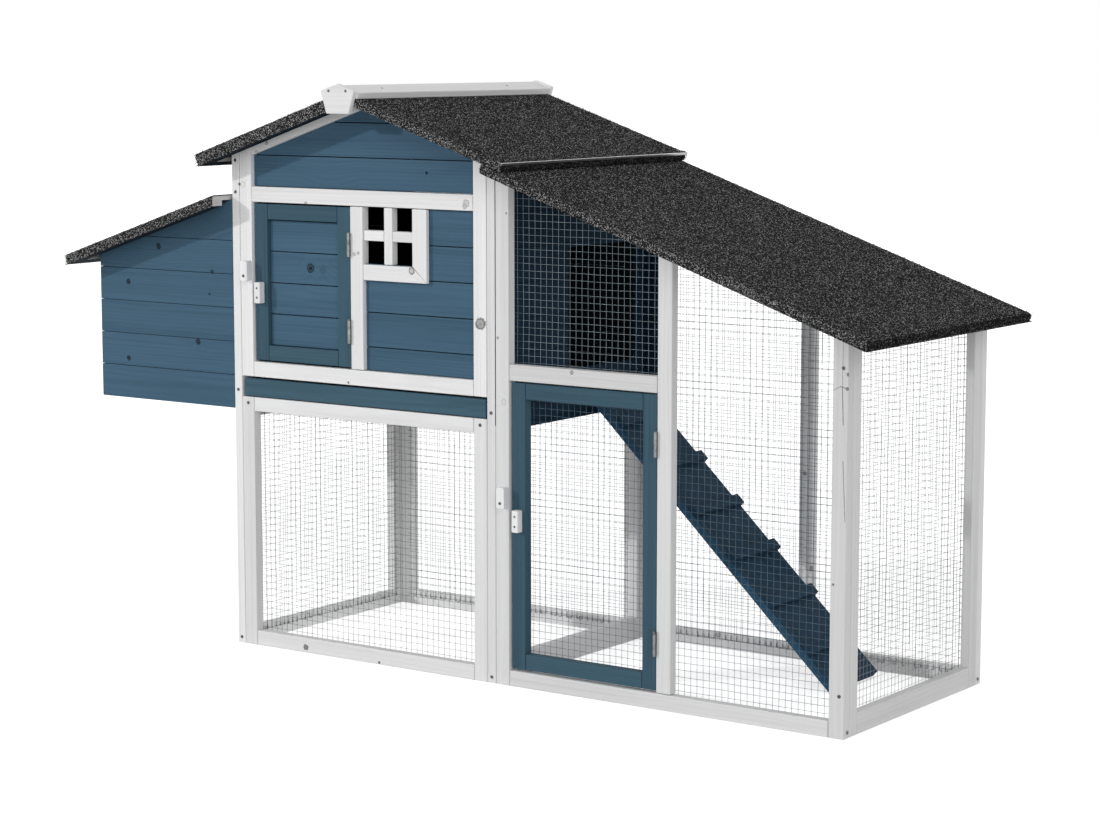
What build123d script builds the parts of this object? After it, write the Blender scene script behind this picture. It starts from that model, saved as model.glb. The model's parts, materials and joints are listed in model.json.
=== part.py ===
from build123d import *
import os
from math import cos, radians, sin, tan

# Overall sizes, in millimetres and degrees
depth = 510  # over the front and rear panels
house_width = 622  # over the left panel and the partition
run_length = 720  # run panels, from the partition to their free end
ridge_height = 1068  # top of the felt at the ridge line
house_pitch = 18.5
run_pitch = 19
roof_overhang = 50  # roofs past the front and rear panels
house_eave = 50  # house roof past the left panel and the partition
run_eave = 63  # run roof past the run panels

# Timber sections
stick = 30  # width of a front or rear stick
wide_stick = 44  # width of a stick in the left panel and the partition
thick = 19  # thickness of every panel
left_gable_rail = 17
right_gable_rail = 12
run_top_rail = 14
board_thick = 9
board_row = 64.5
board_recess = 9  # face of the house boards behind the face of the sticks
board_gap = 0.6
joint_gap = 0.2  # between sticks that meet
rest_gap = 0.3  # between a moving piece and what it rests on

# Heights of the panels
lower_height = 485  # top of the lower house panels
lower_rail = 28
tray_slot = 39  # between the lower and the upper house panels
cross_rail_height = 858  # underside of the rail above the house door
door_rail_height = 558  # underside of the rail above the run door
partition_board_foot = 474
first_board_line = 598
gable_line = 947

# Roof layers
deck = 13
felt = 2
edge_batten = 9
edge_batten_width = 25
lap_clearance = 2  # run roof below the house roof
run_roof_gap = 4  # run roof from the partition
ridge_board = 13
ridge_board_width = 40
block_thick = 10
block_rise = 16  # top of an end block above the felt
block_shoulder_half = 39.5
block_shoulder_drop = 13
block_foot_half = 26.5
block_foot_drop = 55.5
drip_metal = 1
drip_lap = 10
drip_fall = 4

# House door, window and mullion
mullion_offset = 270  # from the left stile's outer edge to the mullion
door_gap = 2.4
hinge_gap = 2.6
door_recess = 5
house_door_stile = 32
door_board_recess = 8
door_board_count = 4
window_width = 115
window_height = 106
window_stile = 34
muntin = 20
muntin_recess = 3

# Run bays
run_mid_offset = 346  # from the partition to the middle stile
end_stile = 28
end_rail = 39

# Turn buttons and keepers
button_width = 18
button_thick = 15
button_tail = 10
button_reach = 29
button_inset = 9.5  # pivot from the stile's inner edge
house_button_height = 718
run_button_height = 337
keeper_width = 15
keeper_height = 41
keeper_inset = 9  # from the door's edge
keeper_drop = 11  # below the pivot
screw_radius = 2
screw_clearance = 0.1
screw_head_radius = 3.5
screw_head = 1.5
strip_screw_margin = 12  # from the end of the strip

# Butt hinges
knuckle_radius = 3
pin_radius = 1.2
pin_clearance = 0.05
leaf_metal = 1
leaf_width = 17
leaf_play = 0.05  # leaf from the wood that it is screwed to
hinge_height = 45
knuckle_gap = 0.4
house_hinge_margin = 69  # hinge middle from the door's top or bottom
run_hinge_margin = 86

# Tray
tray_side_gap = 3
tray_fascia_height = 36
tray_fascia_thick = 15
tray_fascia_recess = 2
tray_wall = 9
tray_floor = 5
tray_height = 30
tray_rear_gap = 2
runner_width = 30
runner_height = 28
runner_end_gap = 2

# Nest box
nest_length = 350
nest_foot = 460
nest_wall = 12
left_board_foot = 849  # underside of the board above the way into the nest
lid_pitch = 18.3
lid_deck = 8
lid_batten = 10
lid_batten_width = 27
lid_batten_gap = 3  # hinge batten from the nest's side walls
lid_overhang = 50
lid_side_overhang = 50
lid_top = 871  # top of the lid at the house
lid_hinge_offset = 150

# Ramp and pop hole
ramp_pitch = 43.4
ramp_top = 517
ramp_width = 164
ramp_thick = 15
ramp_offset = 285  # from the front to the ramp's near edge
cleat_count = 6
cleat_pitch = 111.5
first_cleat = 84
cleat_width = 22
cleat_height = 11
pop_offset = 231  # from the front to the pop hole
pop_width = 229
pop_sill = 554
pop_height = 228
ramp_hinge_offset = 50

# Wire nets
wire = 1
net_pitch = 31
net_lap = 12  # net over the inner face of the sticks round it

# Places worked out from the sizes
lid_reach = nest_length + lid_overhang
x_left = (lid_reach - house_width - run_length - run_eave) / 2
x_left_in = x_left + thick
x_part = x_left + house_width
x_part_in = x_part - thick
x_ridge = x_left + house_width / 2
x_end = x_part + run_length
y_front = -depth / 2
y_rear = depth / 2
y_front_in = y_front + thick
y_rear_in = y_rear - thick
y_roof = depth / 2 + roof_overhang
front = (y_front, y_front_in)
rear = (y_rear_in, y_rear)
roof_thick = deck + felt
upper_foot = lower_height + tray_slot
upper_rail_top = upper_foot + stick
cross_rail_top = cross_rail_height + stick
side_front_y = y_front + wide_stick
side_rear_y = y_rear - wide_stick
knuckle_out = knuckle_radius + rest_gap
knuckle_room = 2 * knuckle_out


def on_slope(start, side, pitch, along, below):
    """X and Z of a point along a falling surface from its start, and square below it."""
    lean = radians(pitch)
    x = start[0] + side * (along * cos(lean) - below * sin(lean))
    z = start[1] - along * sin(lean) - below * cos(lean)
    return (x, z)


def layer(start, side, pitch, length, top, bottom):
    """Outline of a sloping layer, cut plumb at its upper end and square at its low end."""
    lean = tan(radians(pitch))
    upper = [on_slope(start, side, pitch, below * lean, below) for below in (bottom, top)]
    lower = [on_slope(start, side, pitch, length, below) for below in (top, bottom)]
    return upper + lower


def under_house(x):
    """Height of the house roof's underside."""
    fall = abs(x - x_ridge) * tan(radians(house_pitch))
    return ridge_height - fall - roof_thick / cos(radians(house_pitch))


house_slope = (house_width / 2 + house_eave) / cos(radians(house_pitch))
eave_corner = on_slope((x_ridge, ridge_height), 1, house_pitch, house_slope, roof_thick)
run_fall = tan(radians(run_pitch))
run_roof_rise = roof_thick / cos(radians(run_pitch))
x_run_roof = x_part + run_roof_gap
upper_lap = under_house(x_run_roof) + run_fall * (x_run_roof - x_part)
lower_lap = eave_corner[1] + run_fall * (eave_corner[0] - x_part)
run_top = min(upper_lap, lower_lap) - run_roof_rise - lap_clearance


def under_run(x):
    """Height of the run roof's underside."""
    return run_top - run_fall * (x - x_part)


def bar(xs, ys, zs):
    """A square-cut stick, board or plate between the given limits."""
    with Locations(((xs[0] + xs[1]) / 2, (ys[0] + ys[1]) / 2, (zs[0] + zs[1]) / 2)):
        Box(xs[1] - xs[0], ys[1] - ys[0], zs[1] - zs[0])


def slab(outline, ys):
    """A piece with an outline in X and Z, running along Y between two limits."""
    with BuildPart() as piece:
        with BuildSketch(Plane((0, ys[0], 0), x_dir=(1, 0, 0), z_dir=(0, -1, 0))):
            with BuildLine():
                Polyline(*outline, close=True)
            make_face()
        extrude(amount=ys[0] - ys[1])
    return piece.part


def post(xs, foot, under):
    """Outline of an upright whose top follows a roof's underside."""
    return [(xs[0], foot), (xs[1], foot), (xs[1], under(xs[1])), (xs[0], under(xs[0]))]


def rail_under(xs, under, height):
    """Outline of a rail that lies along a roof's underside."""
    return [(x, under(x)) for x in xs] + [(x, under(x) - height) for x in reversed(xs)]


def cut_rows(xs, ys, first, top):
    """Cuts a board wall into rows with fine gaps."""
    line = first
    while line < top - board_row / 4:
        with Locations(((xs[0] + xs[1]) / 2, (ys[0] + ys[1]) / 2, line)):
            Box(xs[1] - xs[0], ys[1] - ys[0], board_gap, mode=Mode.SUBTRACT)
        line += board_row


def net(plane, left, right, bottom, top):
    """A wire net in a plane: one face with square gaps, below a straight top edge."""
    columns = int((right - left - wire) // net_pitch)
    rows = int((max(top(left), top(right)) - bottom - wire) // net_pitch)
    first_column = (left + right - (columns - 1) * net_pitch) / 2
    half = (net_pitch - wire) / 2
    edge = Wire.make_polygon([(left, bottom), (right, bottom), (right, top(right)), (left, top(left))])
    gaps = []
    for column in range(columns):
        sides = (first_column + column * net_pitch - half, first_column + column * net_pitch + half)
        for row in range(rows):
            foot = bottom + wire + row * net_pitch
            left_top, right_top = [min(foot + 2 * half, top(side) - wire) for side in sides]
            if min(left_top, right_top) > foot + wire:
                corners = [(sides[0], foot), (sides[1], foot), (sides[1], right_top), (sides[0], left_top)]
                gaps.append(Wire.make_polygon(corners))
    with BuildPart() as sheet:
        with BuildSketch(plane):
            add(Face(edge, gaps))
        extrude(amount=wire)
    return sheet.part


def net_front(y):
    """Plane of a front or rear net, with X across and Z up."""
    return Plane((0, y, 0), x_dir=(1, 0, 0), z_dir=(0, -1, 0))


def net_side(x):
    """Plane of a side net, with Y across and Z up."""
    return Plane((x, 0, 0), x_dir=(0, 1, 0), z_dir=(1, 0, 0))


def write(builder, name):
    """Labels a finished sub-part and writes its file."""
    builder.part.label = name
    export_step(builder.part, f"parts/{name}.step")


os.makedirs("parts", exist_ok=True)

# Left side panel
left_xs = (x_left, x_left_in)
side_inner = (side_front_y + joint_gap, side_rear_y - joint_gap)
with BuildPart() as left_panel_frame:
    add(slab(post(left_xs, 0, under_house), (y_front, side_front_y)))
    add(slab(post(left_xs, 0, under_house), (side_rear_y, y_rear)))
    bar(left_xs, side_inner, (0, stick))
    bar(left_xs, side_inner, (lower_height - wide_stick, lower_height))
write(left_panel_frame, "left_panel_frame")

with BuildPart() as left_panel_boards:
    add(slab(post(left_xs, left_board_foot, under_house), side_inner))
write(left_panel_boards, "left_panel_boards")

left_net_top = lower_height - wide_stick + net_lap
with BuildPart() as left_panel_mesh:
    add(net(net_side(x_left_in + joint_gap), side_front_y - net_lap, side_rear_y + net_lap,
            stick - net_lap, lambda across: left_net_top))
write(left_panel_mesh, "left_panel_mesh")

# Upper front and rear panels of the house
house_xs = (x_left_in + joint_gap, x_part_in - joint_gap)
stile_left = (house_xs[0], house_xs[0] + stick)
stile_right = (house_xs[1] - stick, house_xs[1])
between_stiles = (stile_left[1] + joint_gap, stile_right[0] - joint_gap)
gable_left = (between_stiles[0], x_ridge - joint_gap / 2)
gable_right = (x_ridge + joint_gap / 2, between_stiles[1])
left_drop = left_gable_rail / cos(radians(house_pitch))
right_drop = right_gable_rail / cos(radians(house_pitch))
mullion = (house_xs[0] + mullion_offset, house_xs[0] + mullion_offset + stick)


def house_panel(ys):
    """Sticks that the upper front and rear panels share."""
    add(slab(post(stile_left, upper_foot, under_house), ys))
    add(slab(post(stile_right, upper_foot, under_house), ys))
    bar(between_stiles, ys, (upper_foot, upper_rail_top))
    add(slab(rail_under(gable_left, under_house, left_drop), ys))
    add(slab(rail_under(gable_right, under_house, right_drop), ys))


left_boards_drop = left_drop + joint_gap
right_boards_drop = right_drop + joint_gap
boards_top = under_house(x_ridge) - min(left_boards_drop, right_boards_drop)


def gable_wall(foot):
    """Outline of the boards between the stiles, from a foot up to the gable rails."""
    left, right = between_stiles
    right_edge = [(x, under_house(x) - right_boards_drop) for x in (right, x_ridge)]
    left_edge = [(x, under_house(x) - left_boards_drop) for x in (x_ridge, left)]
    return [(left, foot), (right, foot)] + right_edge + left_edge


with BuildPart() as house_front_frame:
    house_panel(front)
    bar(between_stiles, front, (cross_rail_height, cross_rail_top))
    bar(mullion, front, (upper_rail_top + joint_gap, cross_rail_height - joint_gap))
write(house_front_frame, "house_front_frame")

with BuildPart() as house_rear_frame:
    house_panel(rear)
write(house_rear_frame, "house_rear_frame")

# House boards, with the window cut out of the front ones
front_boards = (y_front + board_recess, y_front + board_recess + board_thick)
rear_boards = (y_rear - board_recess - board_thick, y_rear - board_recess)
siding_xs = (mullion[1] + joint_gap, between_stiles[1])
siding_zs = (upper_rail_top + joint_gap, cross_rail_height - joint_gap)
window_xs = (mullion[1], mullion[1] + window_width)
window_zs = (cross_rail_height - window_height, cross_rail_height)
with BuildPart() as house_front_boards:
    bar(siding_xs, front_boards, siding_zs)
    with Locations(((window_xs[0] + window_xs[1]) / 2, front_boards[0], (window_zs[0] + window_zs[1]) / 2)):
        Box(window_width, 2 * board_thick + board_gap, window_height, mode=Mode.SUBTRACT)
    add(slab(gable_wall(cross_rail_top + joint_gap), front_boards))
    cut_rows(siding_xs, front_boards, first_board_line, siding_zs[1])
    cut_rows(between_stiles, front_boards, gable_line, boards_top)
write(house_front_boards, "house_front_boards")

with BuildPart() as house_rear_boards:
    add(slab(gable_wall(upper_rail_top + joint_gap), rear_boards))
    cut_rows(between_stiles, rear_boards, first_board_line, boards_top)
write(house_rear_boards, "house_rear_boards")

# Window bars in front of the boards
window_bar_ys = (y_front, front_boards[0] - joint_gap)
muntin_ys = (y_front + muntin_recess, window_bar_ys[1])
window_stile_xs = (window_xs[1], window_xs[1] + window_stile)
window_left = window_xs[0] + joint_gap
window_top = window_zs[1] - joint_gap
muntin_x = (window_xs[0] + window_xs[1] - muntin) / 2
muntin_z = (window_zs[0] + window_zs[1] - muntin) / 2
with BuildPart() as window_bars:
    bar(window_stile_xs, window_bar_ys, (window_zs[0] - stick, window_top))
    bar((window_left, window_xs[1] - joint_gap), window_bar_ys, (window_zs[0] - stick, window_zs[0]))
    bar((muntin_x, muntin_x + muntin), muntin_ys, (window_zs[0] + joint_gap, window_top))
    bar((window_left, muntin_x - joint_gap), muntin_ys, (muntin_z, muntin_z + muntin))
    bar((muntin_x + muntin + joint_gap, window_xs[1] - joint_gap), muntin_ys, (muntin_z, muntin_z + muntin))
write(window_bars, "window_bars")

# Lower front and rear panels of the house
lower_net_xs = (stile_left[1] - net_lap, stile_right[0] + net_lap)
lower_net_foot = stick - net_lap
lower_net_top = lower_height - lower_rail + net_lap


def lower_panel(ys):
    """Sticks of a lower house panel."""
    bar(stile_left, ys, (0, lower_height))
    bar(stile_right, ys, (0, lower_height))
    bar(between_stiles, ys, (0, stick))
    bar(between_stiles, ys, (lower_height - lower_rail, lower_height))


with BuildPart() as lower_front_frame:
    lower_panel(front)
write(lower_front_frame, "lower_front_frame")

with BuildPart() as lower_front_mesh:
    add(net(net_front(y_front_in + joint_gap + wire), *lower_net_xs, lower_net_foot,
            lambda across: lower_net_top))
write(lower_front_mesh, "lower_front_mesh")

with BuildPart() as lower_rear_frame:
    lower_panel(rear)
write(lower_rear_frame, "lower_rear_frame")

with BuildPart() as lower_rear_mesh:
    add(net(net_front(y_rear_in - joint_gap), *lower_net_xs, lower_net_foot, lambda across: lower_net_top))
write(lower_rear_mesh, "lower_rear_mesh")

# Partition between the house and the run, with its pop hole
part_xs = (x_part_in, x_part)
part_board_xs = (x_part - board_thick, x_part)
part_board_top = under_house(x_part) - joint_gap
pop_ys = (y_front + pop_offset, y_front + pop_offset + pop_width)
with BuildPart() as partition_frame:
    add(slab(post(part_xs, 0, under_house), (y_front, side_front_y)))
    add(slab(post(part_xs, 0, under_house), (side_rear_y, y_rear)))
    bar(part_xs, side_inner, (0, wide_stick))
write(partition_frame, "partition_frame")

with BuildPart() as partition_boards:
    bar(part_board_xs, side_inner, (partition_board_foot, part_board_top))
    with Locations((x_part, (pop_ys[0] + pop_ys[1]) / 2, pop_sill + pop_height / 2)):
        Box(4 * board_thick, pop_width, pop_height, mode=Mode.SUBTRACT)
    cut_rows(part_board_xs, side_inner, first_board_line - board_row, part_board_top)
write(partition_boards, "partition_boards")

# Tray with its runners below the house
tray_xs = (house_xs[0] + tray_side_gap, house_xs[1] - tray_side_gap)
tray_foot = lower_height + rest_gap
fascia_ys = (y_front + tray_fascia_recess, y_front + tray_fascia_recess + tray_fascia_thick)
pan_ys = (fascia_ys[1] + joint_gap, y_rear_in - tray_rear_gap)
pan_floor_top = tray_foot + tray_floor
pan_wall_zs = (pan_floor_top + joint_gap, tray_foot + tray_height)
pan_side_ys = (pan_ys[0] + tray_wall + joint_gap, pan_ys[1] - tray_wall - joint_gap)
runner_ys = (y_front_in + runner_end_gap, y_rear_in - runner_end_gap)
with BuildPart() as tray_runners:
    bar((house_xs[0], house_xs[0] + runner_width), runner_ys, (lower_height - runner_height, lower_height))
    bar((house_xs[1] - runner_width, house_xs[1]), runner_ys, (lower_height - runner_height, lower_height))
write(tray_runners, "tray_runners")

with BuildPart() as tray_fascia:
    bar(tray_xs, fascia_ys, (tray_foot, tray_foot + tray_fascia_height))
write(tray_fascia, "tray_fascia")

with BuildPart() as tray_pan:
    bar(tray_xs, pan_ys, (tray_foot, pan_floor_top))
    bar(tray_xs, (pan_ys[0], pan_ys[0] + tray_wall), pan_wall_zs)
    bar(tray_xs, (pan_ys[1] - tray_wall, pan_ys[1]), pan_wall_zs)
    bar((tray_xs[0], tray_xs[0] + tray_wall), pan_side_ys, pan_wall_zs)
    bar((tray_xs[1] - tray_wall, tray_xs[1]), pan_side_ys, pan_wall_zs)
write(tray_pan, "tray_pan")

# Front and rear panels of the run
run_x0 = x_part + joint_gap
run_left = (run_x0, run_x0 + stick)
run_mid = (x_part + run_mid_offset, x_part + run_mid_offset + stick)
run_right = (x_end - stick, x_end)
run_between = (run_left[1] + joint_gap, run_right[0] - joint_gap)
run_bay_left = (run_left[1] + joint_gap, run_mid[0] - joint_gap)
run_bay_right = (run_mid[1] + joint_gap, run_right[0] - joint_gap)
run_rail_drop = run_top_rail / cos(radians(run_pitch))
door_rail_top = door_rail_height + stick
end_xs = (x_end - thick, x_end)


def run_panel(ys):
    """Sticks that the run's front and rear panels share."""
    add(slab(post(run_left, 0, under_run), ys))
    add(slab(post(run_mid, stick + joint_gap, under_run), ys))
    add(slab(post(run_right, 0, under_run), ys))
    bar(run_between, ys, (0, stick))
    add(slab(rail_under(run_bay_left, under_run, run_rail_drop), ys))
    add(slab(rail_under(run_bay_right, under_run, run_rail_drop), ys))


def net_top(across):
    """Top edge of the run's nets, just below the roof."""
    return under_run(across) - lap_clearance


def left_bay_net(plane, foot):
    """A net over the run's left bay, up to the roof."""
    return net(plane, run_bay_left[0] - net_lap, run_bay_left[1] + net_lap, foot - net_lap, net_top)


def right_bay_net(plane):
    """A net over the run's right bay, as far as the end panel."""
    return net(plane, run_bay_right[0] - net_lap, end_xs[0] - joint_gap, stick - net_lap, net_top)


with BuildPart() as run_front_frame:
    run_panel(front)
    bar(run_bay_left, front, (door_rail_height, door_rail_top))
write(run_front_frame, "run_front_frame")

run_front_net = net_front(y_front_in + joint_gap + wire)
with BuildPart() as run_front_mesh:
    add(right_bay_net(run_front_net))
write(run_front_mesh, "run_front_mesh")

with BuildPart() as run_upper_mesh:
    add(left_bay_net(run_front_net, door_rail_top))
write(run_upper_mesh, "run_upper_mesh")

with BuildPart() as run_rear_frame:
    run_panel(rear)
write(run_rear_frame, "run_rear_frame")

run_rear_net = net_front(y_rear_in - joint_gap)
with BuildPart() as run_rear_mesh:
    add(left_bay_net(run_rear_net, stick))
    add(right_bay_net(run_rear_net))
write(run_rear_mesh, "run_rear_mesh")

# End panel of the run
end_ys = (y_front_in + joint_gap, y_rear_in - joint_gap)
end_inner = (end_ys[0] + end_stile + joint_gap, end_ys[1] - end_stile - joint_gap)
end_net_top = under_run(end_xs[1]) - stick + net_lap
with BuildPart() as run_end_frame:
    add(slab(post(end_xs, 0, under_run), (end_ys[0], end_ys[0] + end_stile)))
    add(slab(post(end_xs, 0, under_run), (end_ys[1] - end_stile, end_ys[1])))
    bar(end_xs, end_inner, (0, end_rail))
    add(slab(rail_under(end_xs, under_run, stick), end_inner))
write(run_end_frame, "run_end_frame")

with BuildPart() as run_end_mesh:
    add(net(net_side(end_xs[0] - joint_gap - wire), end_inner[0] - net_lap, end_inner[1] + net_lap,
            end_rail - net_lap, lambda across: end_net_top))
write(run_end_mesh, "run_end_mesh")


# Roofs: a deck under a felt that folds down over its edges
def felt_cap(start, side, pitch, length, edge, half):
    """Felt over a sloping panel of a half width, with its front, rear and low edges turned down."""
    inner_ys = (felt - half, half - felt)
    with BuildPart() as cap:
        add(slab(layer(start, side, pitch, length, 0, edge), (-half, half)))
        add(slab(layer(start, side, pitch, length - felt, felt, edge), inner_ys), mode=Mode.SUBTRACT)
    return cap.part


def edge_battens(start, pitch, length, tops, width, ys):
    """Battens below the front, rear and low edges of a panel that falls to the left."""
    rake = layer(start, -1, pitch, length - width - joint_gap, *tops)
    low_edge = [on_slope(start, -1, pitch, along, below)
                for along, below in ((length, tops[0]), (length, tops[1]),
                                     (length - width, tops[1]), (length - width, tops[0]))]
    add(slab(rake, (ys[0], ys[0] + width)))
    add(slab(rake, (ys[1] - width, ys[1])))
    add(slab(low_edge, ys))


left_start = (x_ridge - joint_gap / 2, ridge_height)
right_start = (x_ridge + joint_gap / 2, ridge_height)
run_start = (x_run_roof, under_run(x_run_roof) + run_roof_rise)
run_slope = (x_end + run_eave - x_run_roof) / cos(radians(run_pitch))
deck_ys = (felt - y_roof, y_roof - felt)
left_edge = roof_thick + edge_batten
with BuildPart() as roof_left_deck:
    add(slab(layer(left_start, -1, house_pitch, house_slope - felt, felt, roof_thick), deck_ys))
write(roof_left_deck, "roof_left_deck")

with BuildPart() as roof_left_battens:
    edge_battens(left_start, house_pitch, house_slope - felt, (roof_thick, left_edge), edge_batten_width,
                 deck_ys)
write(roof_left_battens, "roof_left_battens")

with BuildPart() as roof_left_felt:
    add(felt_cap(left_start, -1, house_pitch, house_slope, left_edge, y_roof))
write(roof_left_felt, "roof_left_felt")

with BuildPart() as roof_right_deck:
    add(slab(layer(right_start, 1, house_pitch, house_slope - felt, felt, roof_thick), deck_ys))
write(roof_right_deck, "roof_right_deck")

with BuildPart() as roof_right_felt:
    add(felt_cap(right_start, 1, house_pitch, house_slope, roof_thick, y_roof))
write(roof_right_felt, "roof_right_felt")

drip_outline = [on_slope(right_start, 1, house_pitch, along, below)
                for along, below in ((house_slope - drip_lap, 0), (house_slope - drip_lap, -drip_metal),
                                     (house_slope + drip_metal, -drip_metal),
                                     (house_slope + drip_metal, drip_fall),
                                     (house_slope, drip_fall), (house_slope, 0))]
with BuildPart() as roof_drip_edge:
    add(slab(drip_outline, (-y_roof, y_roof)))
write(roof_drip_edge, "roof_drip_edge")

with BuildPart() as run_roof_deck:
    add(slab(layer(run_start, 1, run_pitch, run_slope - felt, felt, roof_thick), deck_ys))
write(run_roof_deck, "run_roof_deck")

with BuildPart() as run_roof_felt:
    add(felt_cap(run_start, 1, run_pitch, run_slope, roof_thick, y_roof))
write(run_roof_felt, "run_roof_felt")

# Ridge cap: two boards and a five-sided block at each end
block_top = ridge_height + block_rise
block_shoulder = block_top - block_shoulder_drop
block_foot = block_top - block_foot_drop
block_outline = [(x_ridge, block_top), (x_ridge + block_shoulder_half, block_shoulder),
                 (x_ridge + block_foot_half, block_foot), (x_ridge - block_foot_half, block_foot),
                 (x_ridge - block_shoulder_half, block_shoulder)]
with BuildPart() as ridge_boards:
    add(slab(layer(left_start, -1, house_pitch, ridge_board_width, -ridge_board, 0), (-y_roof, y_roof)))
    add(slab(layer(right_start, 1, house_pitch, ridge_board_width, -ridge_board, 0), (-y_roof, y_roof)))
write(ridge_boards, "ridge_boards")

with BuildPart() as ridge_end_blocks:
    add(slab(block_outline, (-y_roof - block_thick, -y_roof)))
    add(slab(block_outline, (y_roof, y_roof + block_thick)))
write(ridge_end_blocks, "ridge_end_blocks")

# Nest box
lid_start = (x_left - knuckle_room, lid_top)
lid_slope = (lid_reach - knuckle_room) / cos(radians(lid_pitch))
lid_fall = tan(radians(lid_pitch))
lid_panel = felt + lid_deck
lid_thick = lid_panel + lid_batten
lid_drop = lid_panel / cos(radians(lid_pitch))
nest_x0 = x_left - nest_length
nest_front_ys = (y_front, y_front + nest_wall)
nest_rear_ys = (y_rear - nest_wall, y_rear)
nest_inner_ys = (nest_front_ys[1] + joint_gap, nest_rear_ys[0] - joint_gap)
nest_inner_xs = (nest_x0 + nest_wall + joint_gap, x_left - joint_gap)


def under_lid(x):
    """Height of the closed lid's underside, less the rest gap."""
    return lid_top - lid_fall * (lid_start[0] - x) - lid_drop - rest_gap


nest_side_xs = (nest_x0, nest_inner_xs[1])


def nest_side_wall(ys):
    """A nest side wall, cut into rows of boards."""
    with BuildPart() as wall:
        add(slab(post(nest_side_xs, nest_foot, under_lid), ys))
        cut_rows(nest_side_xs, ys, nest_foot + board_row, under_lid(nest_side_xs[1]))
    return wall.part


with BuildPart() as nest_front_wall:
    add(nest_side_wall(nest_front_ys))
write(nest_front_wall, "nest_front_wall")

with BuildPart() as nest_rear_wall:
    add(nest_side_wall(nest_rear_ys))
write(nest_rear_wall, "nest_rear_wall")

nest_end_xs = (nest_x0, nest_x0 + nest_wall)
with BuildPart() as nest_end_wall:
    add(slab(post(nest_end_xs, nest_foot, under_lid), nest_inner_ys))
    cut_rows(nest_end_xs, nest_inner_ys, nest_foot + board_row, under_lid(nest_x0))
write(nest_end_wall, "nest_end_wall")

with BuildPart() as nest_floor:
    bar(nest_inner_xs, nest_inner_ys, (nest_foot, nest_foot + nest_wall))
write(nest_floor, "nest_floor")

# Nest lid, built like the house roof, with a batten for its hinges between the nest's sides
y_lid = depth / 2 + lid_side_overhang
lid_deck_ys = (felt - y_lid, y_lid - felt)
lid_battens = (lid_panel, lid_thick)
hinge_batten_ys = (nest_inner_ys[0] + lid_batten_gap, nest_inner_ys[1] - lid_batten_gap)
with BuildPart() as nest_lid_deck:
    add(slab(layer(lid_start, -1, lid_pitch, lid_slope - felt, felt, lid_panel), lid_deck_ys))
write(nest_lid_deck, "nest_lid_deck")

with BuildPart() as nest_lid_battens:
    edge_battens(lid_start, lid_pitch, lid_slope - felt, lid_battens, lid_batten_width, lid_deck_ys)
    add(slab(layer(lid_start, -1, lid_pitch, lid_batten_width, *lid_battens), hinge_batten_ys))
write(nest_lid_battens, "nest_lid_battens")

with BuildPart() as nest_lid_felt:
    add(felt_cap(lid_start, -1, lid_pitch, lid_slope, lid_thick, y_lid))
write(nest_lid_felt, "nest_lid_felt")

# House door
door_ys = (y_front + door_recess, y_front + door_recess + thick)
door_xs = (stile_left[1] + door_gap, mullion[0] - hinge_gap)
door_zs = (upper_rail_top + door_gap, cross_rail_height - door_gap)
door_inner_xs = (door_xs[0] + house_door_stile + joint_gap, door_xs[1] - house_door_stile - joint_gap)
door_board_ys = (door_ys[0] + door_board_recess, door_ys[0] + door_board_recess + board_thick)
door_board_zs = (door_zs[0] + stick + joint_gap, door_zs[1] - stick - joint_gap)
door_board_row = (door_board_zs[1] - door_board_zs[0]) / door_board_count
with BuildPart() as house_door_frame:
    bar((door_xs[0], door_xs[0] + house_door_stile), door_ys, door_zs)
    bar((door_xs[1] - house_door_stile, door_xs[1]), door_ys, door_zs)
    bar(door_inner_xs, door_ys, (door_zs[0], door_zs[0] + stick))
    bar(door_inner_xs, door_ys, (door_zs[1] - stick, door_zs[1]))
write(house_door_frame, "house_door_frame")

with BuildPart() as house_door_boards:
    for row in range(door_board_count):
        foot = door_board_zs[0] + row * door_board_row
        bar(door_inner_xs, door_board_ys, (foot, foot + door_board_row - board_gap))
write(house_door_boards, "house_door_boards")

# Run door
run_door_xs = (run_left[1] + door_gap, run_mid[0] - hinge_gap)
run_door_zs = (stick + door_gap, door_rail_height - door_gap)
run_door_inner_xs = (run_door_xs[0] + stick + joint_gap, run_door_xs[1] - stick - joint_gap)
run_door_net_top = run_door_zs[1] - stick + net_lap
with BuildPart() as run_door_frame:
    bar((run_door_xs[0], run_door_xs[0] + stick), door_ys, run_door_zs)
    bar((run_door_xs[1] - stick, run_door_xs[1]), door_ys, run_door_zs)
    bar(run_door_inner_xs, door_ys, (run_door_zs[0], run_door_zs[0] + stick))
    bar(run_door_inner_xs, door_ys, (run_door_zs[1] - stick, run_door_zs[1]))
write(run_door_frame, "run_door_frame")

with BuildPart() as run_door_mesh:
    add(net(net_front(door_ys[1] + joint_gap + wire), run_door_inner_xs[0] - net_lap,
            run_door_inner_xs[1] + net_lap, run_door_zs[0] + stick - net_lap,
            lambda across: run_door_net_top))
write(run_door_mesh, "run_door_mesh")


# Keepers on the doors and turn buttons on the stiles
def keeper(door_x, pivot_z):
    """A keeper block on a door's stile, below the turn button."""
    top = pivot_z - keeper_drop
    bar((door_x + keeper_inset, door_x + keeper_inset + keeper_width),
        (door_ys[0] - button_thick, door_ys[0]), (top - keeper_height, top))


def pivot_plane(stile, pivot_z, y):
    """Plane across a turn button's pivot, facing the front."""
    return Plane((stile[1] - button_inset, y, pivot_z), x_dir=(1, 0, 0), z_dir=(0, -1, 0))


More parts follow.
